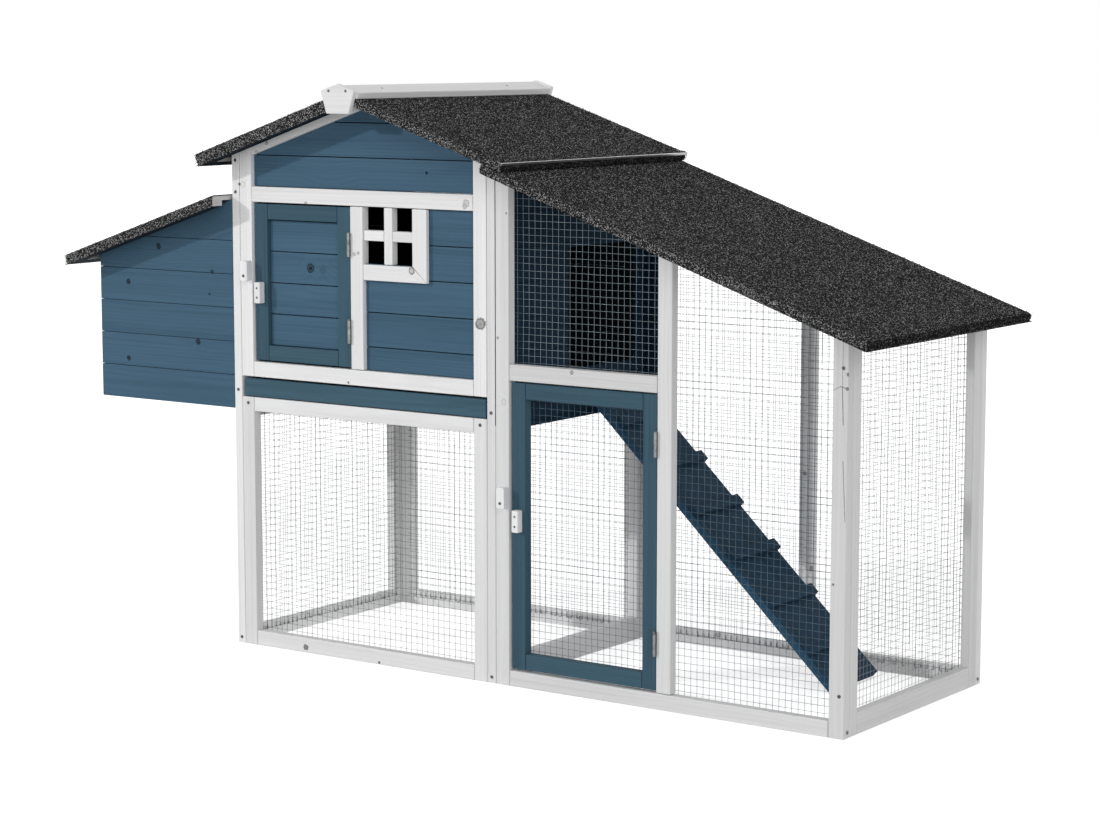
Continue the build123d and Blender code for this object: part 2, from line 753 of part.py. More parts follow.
def turn_button(stile, pivot_z):
    """A turn button pointing up, with rounded ends and a bore for its screw."""
    with BuildPart() as button:
        with BuildSketch(pivot_plane(stile, pivot_z, y_front - rest_gap)):
            with Locations((0, (button_reach - button_tail) / 2)):
                RectangleRounded(button_width, button_reach + button_tail, button_width / 4)
            Circle(screw_radius + screw_clearance, mode=Mode.SUBTRACT)
        extrude(amount=button_thick)
    return button.part


def pivot_screw(stile, pivot_z):
    """The screw that a turn button turns on."""
    shank = button_thick + 2 * rest_gap
    with BuildPart() as screw:
        with BuildSketch(pivot_plane(stile, pivot_z, y_front)):
            Circle(screw_radius)
        extrude(amount=shank)
        with BuildSketch(pivot_plane(stile, pivot_z, y_front - shank)):
            Circle(screw_head_radius)
        extrude(amount=screw_head)
    return screw.part


with BuildPart() as house_door_keeper:
    keeper(door_xs[0], house_button_height)
write(house_door_keeper, "house_door_keeper")

with BuildPart() as run_door_keeper:
    keeper(run_door_xs[0], run_button_height)
write(run_door_keeper, "run_door_keeper")

with BuildPart() as house_latch_button:
    add(turn_button(stile_left, house_button_height))
write(house_latch_button, "house_latch_button")

with BuildPart() as run_latch_button:
    add(turn_button(run_left, run_button_height))
write(run_latch_button, "run_latch_button")

with BuildPart() as latch_screws:
    add(pivot_screw(stile_left, house_button_height))
    add(pivot_screw(run_left, run_button_height))
write(latch_screws, "latch_screws")

# Screws in the corner strips and the right-hand post
left_strip = x_left + thick / 2
part_strip = x_part - thick / 2
post_line = x_end - thick / 2
strip_screws = [(left_strip, under_house(x_left) - strip_screw_margin),
                (left_strip, cross_rail_top - strip_screw_margin),
                (left_strip, lower_height + strip_screw_margin), (left_strip, strip_screw_margin),
                (part_strip, lower_height + strip_screw_margin), (part_strip, strip_screw_margin),
                (post_line, under_run(x_end) - wide_stick - strip_screw_margin),
                (post_line, wide_stick + stick)]
stile_screws = [(sum(stile_left) / 2, lower_height - strip_screw_margin),
                (sum(stile_right) / 2, lower_height - strip_screw_margin)]
with BuildPart() as frame_screws:
    for x, z in strip_screws + stile_screws:
        with BuildSketch(Plane((x, y_front, z), x_dir=(1, 0, 0), z_dir=(0, -1, 0))):
            Circle(screw_head_radius)
        extrude(amount=screw_head)
write(frame_screws, "frame_screws")


# Butt hinges: the axis is the plane's Z, the gap runs along its Y, the fixed side is along its X
def knuckle_spans():
    """Ends of the three knuckles along the axis, the middle one on the moving leaf."""
    third = hinge_height / 3
    ends = [(-1.5 * third, -third / 2), (-third / 2, third / 2), (third / 2, 1.5 * third)]
    return [(low + knuckle_gap / 2, high - knuckle_gap / 2) for low, high in ends]


def hinge_leaf(plane, half_gap, side, knuckles):
    """One leaf with its knuckles; side is 1 for the fixed leaf and -1 for the moving one."""
    leaf_face = half_gap - leaf_play
    leaf_xs = sorted((side * leaf_face, side * (leaf_face - leaf_metal)))
    plate_start = knuckle_radius + knuckle_gap
    with BuildPart(plane) as leaf:
        bar(leaf_xs, (plate_start, plate_start + leaf_width), (-hinge_height / 2, hinge_height / 2))
        for low, high in knuckles:
            with Locations((0, 0, (low + high) / 2)):
                Cylinder(knuckle_radius, high - low)
            bar(leaf_xs, (0, plate_start), (low, high))
        Cylinder(pin_radius + pin_clearance, 2 * hinge_height, mode=Mode.SUBTRACT)
    return leaf.part


def fixed_leaf(plane, half_gap):
    """The leaf on the frame, with the two outer knuckles."""
    spans = knuckle_spans()
    return hinge_leaf(plane, half_gap, 1, (spans[0], spans[2]))


def moving_leaf(plane, half_gap):
    """The leaf on a door, lid or ramp, with the middle knuckle."""
    return hinge_leaf(plane, half_gap, -1, (knuckle_spans()[1],))


def hinge_pin(plane):
    """The pin through the knuckles."""
    with BuildPart(plane) as pin:
        Cylinder(pin_radius, hinge_height)
    return pin.part


hinge_half = hinge_gap / 2


def door_hinges(stile_x, zs, margin):
    """Planes of a door's two hinges, in front of the gap beside its stile."""
    return [Plane((stile_x - hinge_half, y_front - knuckle_out, z), x_dir=(1, 0, 0), z_dir=(0, 0, 1))
            for z in (zs[0] + margin, zs[1] - margin)]


ramp_y = y_front + ramp_offset + ramp_width / 2
house_hinges = door_hinges(mullion[0], door_zs, house_hinge_margin)
run_hinges = door_hinges(run_mid[0], run_door_zs, run_hinge_margin)
lid_axis = (x_left - knuckle_out, lid_top + knuckle_out)
lid_hinges = [Plane((lid_axis[0], y, lid_axis[1]), x_dir=(1, 0, 0), z_dir=(0, 1, 0))
              for y in (-lid_hinge_offset, lid_hinge_offset)]
ramp_hinges = [Plane((x_part + knuckle_out, y, ramp_top + knuckle_out), x_dir=(-1, 0, 0), z_dir=(0, -1, 0))
               for y in (ramp_y - ramp_hinge_offset, ramp_y + ramp_hinge_offset)]
with BuildPart() as frame_hinge_leaves:
    for hinge in house_hinges + run_hinges:
        add(fixed_leaf(hinge, hinge_half))
    for hinge in lid_hinges + ramp_hinges:
        add(fixed_leaf(hinge, knuckle_out))
write(frame_hinge_leaves, "frame_hinge_leaves")

with BuildPart() as hinge_pins:
    for hinge in house_hinges + run_hinges + lid_hinges + ramp_hinges:
        add(hinge_pin(hinge))
write(hinge_pins, "hinge_pins")

with BuildPart() as house_door_hinge_leaves:
    for hinge in house_hinges:
        add(moving_leaf(hinge, hinge_half))
write(house_door_hinge_leaves, "house_door_hinge_leaves")

with BuildPart() as run_door_hinge_leaves:
    for hinge in run_hinges:
        add(moving_leaf(hinge, hinge_half))
write(run_door_hinge_leaves, "run_door_hinge_leaves")

with BuildPart() as nest_lid_hinge_leaves:
    for hinge in lid_hinges:
        add(moving_leaf(hinge, knuckle_out))
write(nest_lid_hinge_leaves, "nest_lid_hinge_leaves")

with BuildPart() as ramp_hinge_leaves:
    for hinge in ramp_hinges:
        add(moving_leaf(hinge, knuckle_out))
write(ramp_hinge_leaves, "ramp_hinge_leaves")

# Ramp from the pop hole's sill to the ground, with cleats
ramp_start = (x_part + knuckle_room, ramp_top)
ramp_lean = radians(ramp_pitch)
ramp_slope = (ramp_top - rest_gap - ramp_thick * cos(ramp_lean)) / sin(ramp_lean)
ramp_ys = (ramp_y - ramp_width / 2, ramp_y + ramp_width / 2)
with BuildPart() as ramp_plank:
    add(slab(layer(ramp_start, 1, ramp_pitch, ramp_slope, 0, ramp_thick), ramp_ys))
write(ramp_plank, "ramp_plank")

with BuildPart() as ramp_cleats:
    for number in range(cleat_count):
        start = first_cleat + number * cleat_pitch
        end = start + cleat_width
        corners = ((start, 0), (start, -cleat_height), (end, -cleat_height), (end, 0))
        add(slab([on_slope(ramp_start, 1, ramp_pitch, along, below) for along, below in corners], ramp_ys))
write(ramp_cleats, "ramp_cleats")
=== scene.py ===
"""Looks of the chicken coop with run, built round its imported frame. Metres, +Z up, the front towards -Y."""
import json
import math
import random

import bmesh
import bpy
from mathutils import Matrix, Vector, noise
from mathutils.geometry import convex_hull_2d

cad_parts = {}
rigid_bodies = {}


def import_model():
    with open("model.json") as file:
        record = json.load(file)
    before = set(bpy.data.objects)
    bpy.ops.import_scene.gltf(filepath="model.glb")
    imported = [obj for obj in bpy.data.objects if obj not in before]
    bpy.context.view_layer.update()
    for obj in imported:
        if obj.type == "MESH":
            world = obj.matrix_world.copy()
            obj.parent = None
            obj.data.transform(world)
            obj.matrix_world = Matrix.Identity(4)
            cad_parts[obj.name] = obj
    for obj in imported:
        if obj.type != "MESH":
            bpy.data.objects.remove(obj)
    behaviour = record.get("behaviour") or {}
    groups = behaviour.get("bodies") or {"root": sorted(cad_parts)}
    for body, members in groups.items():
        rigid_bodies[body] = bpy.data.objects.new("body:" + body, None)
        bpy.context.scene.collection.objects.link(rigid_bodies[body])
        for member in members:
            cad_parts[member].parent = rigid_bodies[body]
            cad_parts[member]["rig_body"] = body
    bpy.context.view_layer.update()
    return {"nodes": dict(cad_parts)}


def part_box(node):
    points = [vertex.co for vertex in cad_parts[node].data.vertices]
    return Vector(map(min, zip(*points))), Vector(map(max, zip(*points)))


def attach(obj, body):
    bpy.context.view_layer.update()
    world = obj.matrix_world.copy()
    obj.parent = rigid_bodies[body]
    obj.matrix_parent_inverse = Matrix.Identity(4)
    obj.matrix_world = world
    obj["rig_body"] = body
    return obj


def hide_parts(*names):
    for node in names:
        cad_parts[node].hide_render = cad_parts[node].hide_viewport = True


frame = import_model()
NODES = frame["nodes"]
rng = random.Random(11)

FRONT = Vector((0.0, -1.0, 0.0))
BACK = Vector((0.0, 1.0, 0.0))
RIGHT = Vector((1.0, 0.0, 0.0))

# Camera fitted to the photograph, without shift
CAMERA_PLACE = Vector((3.0405, -4.2346, 1.1535))
CAMERA_YAW = math.radians(35.139)
CAMERA_PITCH = math.radians(-7.5475)
CAMERA_LENS = 90.69
SENSOR_WIDTH = 36.0
CLIP_END = 100.0

# Studio light and floor; each sun has a name, a direction, a strength and an angle in degrees
AMBIENT = 0.4
BACKDROP = 1.0
PURE_WHITE = (1, 1, 1, 1)
FLOOR_HALF = 30.0
FLOOR_WHITE = (0.92, 0.92, 0.92, 1)
FLOOR_LIFT = 0.6
SUNS = (
    ("key", (1.0, 1.0, -0.55), 1.2, 2.0),
    ("front_fill", (-0.7, 0.7, -0.4), 0.9, 40.0),
    ("rear_fill", (-0.3, -1.0, -0.5), 0.8, 40.0),
)

# Colours, linear
WHITE_PAINT = (0.79, 0.79, 0.795)
WHITE_SHADE = (0.64, 0.635, 0.63)
WHITE_KNOT = (0.12, 0.115, 0.11)
BLUE_STAIN = (0.0605, 0.124, 0.186)
BLUE_SHADE = (0.042, 0.09, 0.142)
BLUE_KNOT = (0.007, 0.014, 0.022)
# Painted shade: dark blue for blue wood in the shade under the roofs
SHADE_BLUE_PAINT = (0.0105, 0.028, 0.049)
SHADE_BLUE_GRAIN = (0.007, 0.019, 0.034)
# Painted light: the ramp's sides, lighter than its top in painted shade
RAMP_SIDE_LIGHT = (0.0185, 0.05, 0.088)
RAMP_SIDE_LIGHT_GRAIN = (0.0125, 0.034, 0.061)
TEAL_STAIN = (0.062, 0.127, 0.172)
TEAL_SHADE = (0.043, 0.092, 0.131)
PALE_WOOD = (0.62, 0.61, 0.59)
PALE_SHADE = (0.47, 0.455, 0.43)
PALE_KNOT = (0.2, 0.17, 0.14)
# Painted shade: near-black for faces inside the house and nest, and under battens
ROOM_SHADE_PAINT = (0.012, 0.019, 0.027)
ROOM_SHADE_GRAIN = (0.006, 0.01, 0.014)
BITUMEN = (0.01, 0.01, 0.0105)
GRANULE = (0.68, 0.68, 0.68)
# Painted shade: darker felt and grains for faces that turn to +x, away from the key lamp
SHADED_BITUMEN = (0.006, 0.006, 0.0063)
SHADED_GRANULE = (0.3, 0.3, 0.3)

# Patterns in cells per metre; those of timber run along, across and through a stick
KNOT_CELLS = (5.5, 15.0, 4.0)
WOBBLE_CELLS = (2.2, 16.0, 16.0)
PORE_CELLS = (9.0, 900.0, 900.0)
STREAK_CELLS = (1.1, 60.0, 60.0)
BLOTCH_CELLS = (3.0, 12.0, 12.0)
RAG_CELLS = (260.0, 260.0, 260.0)
CLUMP_CELLS = (40.0, 40.0, 40.0)
HAZE_CELLS = (30.0, 30.0, 30.0)
SCRATCH_CELLS = (700.0, 700.0, 60.0)
FELT_CELL = 0.0015
WIRE_SPANGLE = 300.0

# Timber's growth rings, the band in which each pattern shows, and its share of the darkening
RING_RATE = 1250.0
RING_WOBBLE = 0.014
RING_BAND = (-0.2, 1.0)
RING_SHARE = 0.4
PORE_BAND = (0.52, 0.75)
PORE_SHARE = 0.35
BLOTCH_BAND = (0.45, 0.7)
BLOTCH_SHARE = 0.3
STREAK_BAND = (0.42, 0.72)
RING_RELIEF = 0.3
PORE_RELIEF = 0.5
KNOT_RELIEF = -0.4
PORE_ROUGH = 0.16

# Felt's grains and their clumps, and metal's spangle and haze
GREY_CURVE = 1.5
GREY_SHARE = 0.9
GREY_SPECKLE = 0.05
CLUMP_BAND = (0.25, 0.75)
CLUMP_LEVELS = (0.85, 1.0)
CLUMP_RELIEF = 0.5
FELT_ROUGH = (0.82, 1.0)
SPANGLE_SHARE = 0.45
HAZE_BAND = (0.4, 0.7)
HAZE_SHARE = 0.5
METAL_ROUGH = (-0.08, 0.14)

# Knots: scattered ones in shares of a cell, those at given places in shares of their radius
KNOT_CORE = (0.05, 0.12)
KNOT_REACH = 0.5
KNOT_SOFT = 0.02
KNOT_SWELL = 0.009
MARK_RAG = 0.7
MARK_MIDDLE = (0.55, 0.8)
MARK_EDGE = (0.82, 1.08)
MARK_REACH = 3.5
MARK_SWIRL = 0.9
CRACK_CORE = 0.4

# Depth of fine relief
WOOD_RELIEF = 0.00035
FELT_RELIEF = 0.0012
METAL_RELIEF = 0.00006

# Meshes of the solids
MERGE_DISTANCE = 2e-5
FLAT_ANGLE = math.radians(1.0)
SHARP_ANGLE = 0.4
TOUCH = 1e-4

# Timber: eased edges, seams between sticks, and the spread of grain and tone
WHITE_EDGE = 0.0016
BLUE_EDGE = 0.0012
BARE_EDGE = 0.0006
EDGE_PROFILE = 0.6
STICK_SEAM = 0.0005
FASCIA_SEAM = 0.0012
NEST_SEAM = 0.0001
GRAIN_SHIFT = 9.0
PITH_ASIDE = 0.05
PITH_DEPTH = (0.015, 0.06)
TONES = (0.95, 1.05)
LOW_RAIL = 0.05
# Painted light: a paler tone for the low rail inside, below the nest
LOW_RAIL_PAINTED_LIGHT = 1.12

# Rooms whose walls get painted shade on the inside, and the shaded bay beside the pop hole, which gets dark
# blue painted shade
HOUSE_FLOOR = 0.53
NEST_TOP = 0.87
ROOMS = (
    (Vector((-0.4835, -0.236, HOUSE_FLOOR)), Vector((0.1115, 0.236, 1.05))),
    (Vector((-0.8405, -0.243, 0.472)), Vector((-0.4835, 0.243, NEST_TOP))),
)
ROOM_PROBE = 0.004
SHADED = {"partition_frame": RIGHT, "run_rear_frame": FRONT}
BAY_REACH = 0.035
TOWARDS = 0.7
HALF_TOWARDS = 0.5

# Window bars, which reach back through the boards
MUNTIN_WIDTH = 0.022
MUNTIN_DEPTH = 0.011

# Rail that closes the tray's slot at the rear
STOP_GAP = 0.0008
STOP_THICK = 0.0155
STOP_LEVEL = 0.95

# Roof felts: bends, turned edges, loose grains on them, and painted shade on felt and grains that face +x, as
# at the foot of the run's roof
FELT_BENDS = ((True, 0.005), (False, 0.003))
BEND_STEPS = 4
BEND_PROFILE = 0.5
BROAD_FACE = 0.004
SQUARE_ON = 0.9
LIP_NEAR = 0.0005
LIP_HEIGHTS = (0.008, 0.04)
LIP_LENGTH = 0.3
EAVE_REACH = 0.3
GRIT_AREA = 4.5e-6
GRIT_SIZES = (0.0006, 0.0012)
GRIT_SPOKES = (0.75, 1.1)
GRIT_LIFT = 0.2
GRIT_TURN = 6.28
GRIT_POWER = 2.8
EAVE_FACING = 0.6
# Painted shade: share of their grey that grains facing +x keep
SHADED_GRIT_SHARE = 0.3

# Wire netting and the curled ends of its wires
NET_PITCH = 0.0127
NET_MARGIN = 0.002
NET_WOBBLE = 0.0011
NET_PHASES = 50.0
SWAY_RATE = 9
SWAY_SHIFT = 7
KINK_RATE = 38
KINK_SHIFT = 3
KINK_SHARE = 0.5
WIRE_RADIUS = 0.00037
WIRE_LIFT = 0.9
WIRE_SIDES = 5
WIRE_STEP = 0.0254
HOOK_SHARE = 0.85
HOOK_RISE = 0.009
HOOK_DROP = 0.006
HOOK_RADIUS = 0.00055
HOOK_SIZES = (0.0018, 0.003)
HOOK_SWEEPS = (0.75, 1.5)
HOOK_BENDS = 7
HOOK_CLEAR = 0.0012
HOOK_LEAN = 0.0016

# Screw and nail heads: radius and height, then their form as shares of these
FRAME_HEAD = (0.0033, 0.0013)
RIDGE_HEAD = (0.0026, 0.0009)
RIDGE_NAIL = (0.002, 0.0005)
LATCH_HEAD = (0.0028, 0.0013)
KEEPER_HEAD = (0.0021, 0.0007)
NEST_NAIL = (0.001, 0.0003)
HEAD_SIDES = 16
HEAD_PROFILE = ((1.0, 0.0), (1.0, 0.35), (0.9, 0.75), (0.7, 1.0))
RECESS_LONG = 0.55
RECESS_SLIM = 0.13
RECESS_TAPER = 0.6
RECESS_FLOOR = 0.25

# Places of the screws and nails
END_SCREW_INSET = 0.0125
END_SCREW_HEIGHT = 0.011
BLOCK_SCREW_REACH = 0.02
BLOCK_SCREW_DROP = 0.0135
RIDGE_SLOPE = Vector((0.317, 0.0, 0.948))
RIDGE_NAIL_REACH = 0.0215
RIDGE_NAIL_DROP = 0.0072
RIDGE_NAIL_YS = (-0.21, 0.18)
LATCH_SCREW_SINK = 0.0015
KEEPER_SHARES = (0.28, 0.72)
NEST_BOARDS = 6
NEST_BOARD_PITCH = 0.0645
NEST_NAIL_SHARES = (0.3, 0.75)
NEST_NAIL_INSETS = (0.012, 0.011)
NEST_NAIL_DROP = 0.03
NEST_SLOPE = 0.33
NEST_NAIL_JITTER = 0.002

# Drip edge
DRIP_EDGE = 0.0003
DRIP_TOP_FACING = 0.6


class Shader:
    """A node material with one Principled shader and short calls for its nodes."""

    def __init__(self, name):
        self.material = bpy.data.materials.new(name)
        self.material.use_nodes = True
        self.tree = self.material.node_tree
        self.surface = self.tree.nodes["Principled BSDF"]

    def put(self, socket, value):
        """Links a socket to an input, or sets the input's own value."""
        if isinstance(value, bpy.types.NodeSocket):
            self.tree.links.new(value, socket)
        elif isinstance(value, tuple) and len(value) == 3 and socket.type == "RGBA":
            socket.default_value = (*value, 1)
        else:
            socket.default_value = value

    def node(self, kind, inputs=(), **settings):
        """A new node with its settings and inputs."""
        made = self.tree.nodes.new("ShaderNode" + kind)
        for key, value in settings.items():
            setattr(made, key, value)
        for key, value in dict(inputs).items():
            self.put(made.inputs[key], value)
        return made

    def math(self, operation, first, second=0.0, third=0.0):
        made = self.node("Math", {0: first, 1: second, 2: third}, operation=operation)
        return made.outputs[0]

    def vector(self, operation, first, second):
        """Works on two vectors; a distance or a dot product is a number."""
        made = self.node("VectorMath", {0: first, 1: second}, operation=operation)
        return made.outputs["Value" if operation in ("DISTANCE", "DOT_PRODUCT") else "Vector"]

    def times(self, vector, number):
        made = self.node("VectorMath", {0: vector, "Scale": number}, operation="SCALE")
        return made.outputs[0]

    def noise(self, vector, cells, detail=2.0, rough=0.5):
        made = self.node("TexNoise", {"Vector": self.vector("MULTIPLY", vector, cells), "Scale": 1.0,
                                      "Detail": detail, "Roughness": rough})
        return made.outputs["Fac"]

    def spread(self, value, low, high, out_low=0.0, out_high=1.0):
        """Maps low..high to the outer values, held at the ends."""
        made = self.node("MapRange", {"Value": value, "From Min": low, "From Max": high,
                                      "To Min": out_low, "To Max": out_high})
        made.interpolation_type = "SMOOTHSTEP"
        return made.outputs["Result"]

    def mix(self, fac, first, second):
        made = self.node("MixRGB", {"Fac": fac, "Color1": first, "Color2": second})
        return made.outputs["Color"]

    def attribute(self, name, output="Vector"):
        return self.node("Attribute", attribute_name=name).outputs[output]

    def place(self):
        return self.node("TexCoord").outputs["Object"]

    def finish(self, colour, rough, height, depth, **constants):
        """Joins colour, roughness and relief to the surface, and gives the material."""
        self.put(self.surface.inputs["Base Color"], colour)
        self.put(self.surface.inputs["Roughness"], rough)
        bump = self.node("Bump", {"Height": height, "Strength": 1.0, "Distance": depth})
        self.put(self.surface.inputs["Normal"], bump.outputs["Normal"])
        for key, value in constants.items():
            self.surface.inputs[key.replace("_", " ")].default_value = value
        return self.material


def with_knot(s, core, swirl, place, rag, point, size, weight, hollow):
    """Adds a ragged knot at a point to the knot cores, and to the swirl of the grain round them."""
    away = s.math("MULTIPLY_ADD", rag, MARK_RAG * size, s.vector("DISTANCE", place, point))
    rim = s.spread(away, MARK_MIDDLE[0] * size, MARK_MIDDLE[1] * size, 1.0 - hollow, 1.0)
    spot = s.spread(away, MARK_EDGE[0] * size, MARK_EDGE[1] * size, weight, 0.0)
    spot = s.math("MULTIPLY", spot, rim)
    bend = s.spread(away, 0.0, MARK_REACH * size, MARK_SWIRL, 0.0)
    return s.math("MAXIMUM", core, spot), s.math("MAXIMUM", swirl, bend)


def with_crack(s, core, place, rag, start, end, width, weight):
    """Adds a ragged crack from start to end to the knot cores."""
    run = Vector(end) - Vector(start)
    step = s.vector("SUBTRACT", place, start)
    share = s.vector("DOT_PRODUCT", step, tuple(run / run.length_squared))
    held = s.node("Clamp", {"Value": share}).outputs[0]
    away = s.vector("DISTANCE", step, s.times(tuple(run), held))
    away = s.math("MULTIPLY_ADD", rag, width, away)
    return s.math("MAXIMUM", core, s.spread(away, CRACK_CORE * width, width, weight, 0.0))


def wood(name, light, dark, knot, grain, knot_share, rough, shine, marks=(), cracks=()):
    """Timber: growth rings round a pith, fine pores, knots, cracks and a tone for each stick."""
    s = Shader(name)
    along = s.attribute("grain")
    axes = s.node("SeparateXYZ", {0: along})
    knots = s.node("TexVoronoi", {"Vector": s.vector("MULTIPLY", along, KNOT_CELLS), "Scale": 1.0})
    chance = s.node("SeparateColor", {0: knots.outputs["Color"]}).outputs[0]
    rare = s.spread(chance, knot_share, knot_share + KNOT_SOFT)
    core = s.math("MULTIPLY", s.spread(knots.outputs["Distance"], *KNOT_CORE, 1.0, 0.0), rare)
    swirl = s.math("MULTIPLY", s.spread(knots.outputs["Distance"], 0.0, KNOT_REACH, 1.0, 0.0), rare)
    place = s.place()
    rag = s.math("SUBTRACT", s.noise(place, RAG_CELLS, detail=3.0), 0.5)
    for mark in marks:
        core, swirl = with_knot(s, core, swirl, place, rag, *mark)
    for crack in cracks:
        core = with_crack(s, core, place, rag, *crack)
    radius = s.math("SQRT", s.math("ADD", s.math("POWER", axes.outputs[1], 2.0),
                                   s.math("POWER", axes.outputs[2], 2.0)))
    radius = s.math("MULTIPLY_ADD", s.noise(along, WOBBLE_CELLS, detail=3.0), RING_WOBBLE, radius)
    radius = s.math("MULTIPLY_ADD", swirl, KNOT_SWELL, radius)
    rings = s.spread(s.math("SINE", s.math("MULTIPLY", radius, RING_RATE)), *RING_BAND)
    pores = s.noise(along, PORE_CELLS, rough=0.6)
    dots = s.spread(pores, *PORE_BAND)
    streaks = s.spread(s.noise(along, STREAK_CELLS, detail=4.0, rough=0.6), *STREAK_BAND)
    blotch = s.spread(s.noise(along, BLOTCH_CELLS), *BLOTCH_BAND)
    fac = s.math("MULTIPLY", streaks, grain)
    for pattern, share in ((rings, RING_SHARE), (dots, PORE_SHARE), (blotch, BLOTCH_SHARE)):
        fac = s.math("MULTIPLY_ADD", pattern, share * grain, fac)
    colour = s.mix(s.math("MINIMUM", fac, 1.0), light, dark)
    colour = s.mix(core, s.times(colour, s.attribute("tone", "Fac")), knot)
    height = s.math("MULTIPLY_ADD", rings, RING_RELIEF, s.math("MULTIPLY", pores, PORE_RELIEF))
    height = s.math("MULTIPLY_ADD", core, KNOT_RELIEF, height)
    rough = s.math("MULTIPLY_ADD", pores, PORE_ROUGH, rough - PORE_ROUGH / 2)
    return s.finish(colour, rough, height, WOOD_RELIEF, Specular_IOR_Level=shine)


def granules(name, dark, light, share):
    """Mineral felt: dark bitumen with grains of several greys, and loose grains with their own grey."""
    s = Shader(name)
    place = s.place()
    fine = s.node("TexVoronoi", {"Vector": place, "Scale": 1.0 / FELT_CELL})
    clump = s.noise(place, CLUMP_CELLS, detail=4.0)
    pick = s.node("SeparateColor", {0: fine.outputs["Color"]})
    grey = s.math("POWER", s.spread(pick.outputs[0], share, 1.0), GREY_CURVE)
    grey = s.math("MULTIPLY_ADD", pick.outputs[1], GREY_SPECKLE, s.math("MULTIPLY", grey, GREY_SHARE))
    grey = s.math("MULTIPLY", grey, s.spread(clump, *CLUMP_BAND, *CLUMP_LEVELS))
    speck = s.attribute("speck", "Fac")
    colour = s.mix(s.math("MAXIMUM", grey, speck), dark, light)
    height = s.math("MULTIPLY_ADD", fine.outputs["Distance"], -1.0, s.math("MULTIPLY", clump, CLUMP_RELIEF))
    rough = s.spread(pick.outputs[2], 0.0, 1.0, *FELT_ROUGH)
    return s.finish(colour, rough, height, FELT_RELIEF, Specular_IOR_Level=0.0)


def metal(name, colour, dull, rough, spangle):
    """Sheet or wire metal with zinc spangle, dull patches and fine scratches."""
    s = Shader(name)
    place = s.place()
    flakes = s.node("TexVoronoi", {"Vector": place, "Scale": spangle})
    tint = s.node("SeparateColor", {0: flakes.outputs["Color"]}).outputs[0]
    haze = s.spread(s.noise(place, HAZE_CELLS, detail=4.0), *HAZE_BAND)
    wear_and_shade = s.math("MULTIPLY_ADD", tint, SPANGLE_SHARE, s.math("MULTIPLY", haze, HAZE_SHARE))
    rough = s.spread(wear_and_shade, 0.0, 1.0, rough + METAL_ROUGH[0], rough + METAL_ROUGH[1])
    scratch = s.noise(place, SCRATCH_CELLS)
    return s.finish(s.mix(wear_and_shade, colour, dull), rough, scratch, METAL_RELIEF, Metallic=1.0)


# Faces on which the photograph shows knots and cracks, by their depth
POST_FACE = -0.255
NEST_FACE = -0.255
DOOR_FACE = -0.242
GABLE_FACE = -0.246
REAR_FACE = 0.236


def knots_on(depth, *rows):
    """Knots on a face: each row is x, z, radius, strength, and how pale the knot's middle is."""
    return [((x, depth, z), size, weight, hollow) for x, z, size, weight, hollow in rows]


def cracks_on(depth, *rows):
    """Cracks on a face: each row is x and z of the start and of the end, width and strength."""
    return [((x0, depth, z0), (x1, depth, z1), width, weight) for x0, z0, x1, z1, width, weight in rows]


WHITE_MARKS = knots_on(
    POST_FACE,
    (0.0868, 0.657, 0.0115, 0.95, 0.35),
    (0.0868, 0.656, 0.004, 0.75, 0.0),
    (0.056, 0.872, 0.0075, 0.5, 0.4),
    (0.0525, 0.8665, 0.0055, 0.55, 0.2),
    (-0.4825, 0.891, 0.0034, 0.9, 0.0),
    (-0.4735, 0.8905, 0.0065, 0.22, 0.7),
    (-0.3314, 0.0112, 0.006, 1.0, 0.15),
    (-0.0692, 0.7447, 0.0072, 0.9, 0.6),
    (-0.2035, 0.7695, 0.0042, 0.45, 0.0),
    (-0.194, 0.772, 0.0034, 0.5, 0.0),
    (-0.319, 0.8595, 0.004, 0.5, 0.0),
    (-0.4134, 0.97, 0.004, 0.7, 0.3),
    (-0.4388, 0.9528, 0.0035, 0.55, 0.3),
    (-0.2203, 0.5289, 0.0025, 0.9, 0.0),
    (0.1444, 0.8572, 0.002, 0.8, 0.0),
    (0.1572, 0.8021, 0.004, 0.95, 0.0),
    (0.1253, 0.6337, 0.003, 0.6, 0.0),
    (0.2863, 0.5823, 0.004, 0.75, 0.3),
    (0.1381, 0.5192, 0.006, 0.28, 0.75),
    (-0.1522, 0.0047, 0.0028, 1.0, 0.0),
    (0.8157, 0.2628, 0.0025, 0.9, 0.0),
    (0.8375, 0.5925, 0.0035, 0.8, 0.0),
    (0.839, 0.6162, 0.0035, 0.8, 0.0),
) + knots_on(
    REAR_FACE,
    (0.4956, 0.1782, 0.006, 0.8, 0.2),
    (0.4773, 0.3575, 0.0045, 0.7, 0.0),
    (0.2899, 0.027, 0.0065, 0.75, 0.3),
)
WHITE_CRACKS = cracks_on(
    POST_FACE,
    (0.8282, 0.5945, 0.829, 0.69, 0.0009, 0.6),
    (0.8308, 0.5321, 0.8282, 0.5945, 0.0011, 0.9),
    (0.811, 0.5886, 0.8255, 0.5955, 0.0013, 0.45),
    (0.8255, 0.5955, 0.8385, 0.5925, 0.0015, 0.65),
    (0.831, 0.4713, 0.8365, 0.37, 0.001, 0.75),
)
BLUE_MARKS = knots_on(
    DOOR_FACE,
    (-0.32, 0.7372, 0.0095, 0.85, 0.35),
    (-0.32, 0.7372, 0.004, 1.0, 0.0),
    (-0.2894, 0.7348, 0.0085, 0.2, 0.0),
) + knots_on(
    NEST_FACE,
    (-0.7771, 0.6911, 0.0058, 0.85, 0.0),
    (-0.6952, 0.7641, 0.0066, 0.8, 0.0),
    (-0.556, 0.7204, 0.0046, 0.7, 0.0),
    (-0.595, 0.5831, 0.0066, 0.8, 0.0),
    (-0.7798, 0.5389, 0.0056, 0.85, 0.0),
    (-0.5638, 0.6773, 0.0032, 0.6, 0.0),
) + knots_on(
    GABLE_FACE,
    (-0.0402, 0.9234, 0.0032, 0.95, 0.0),
)

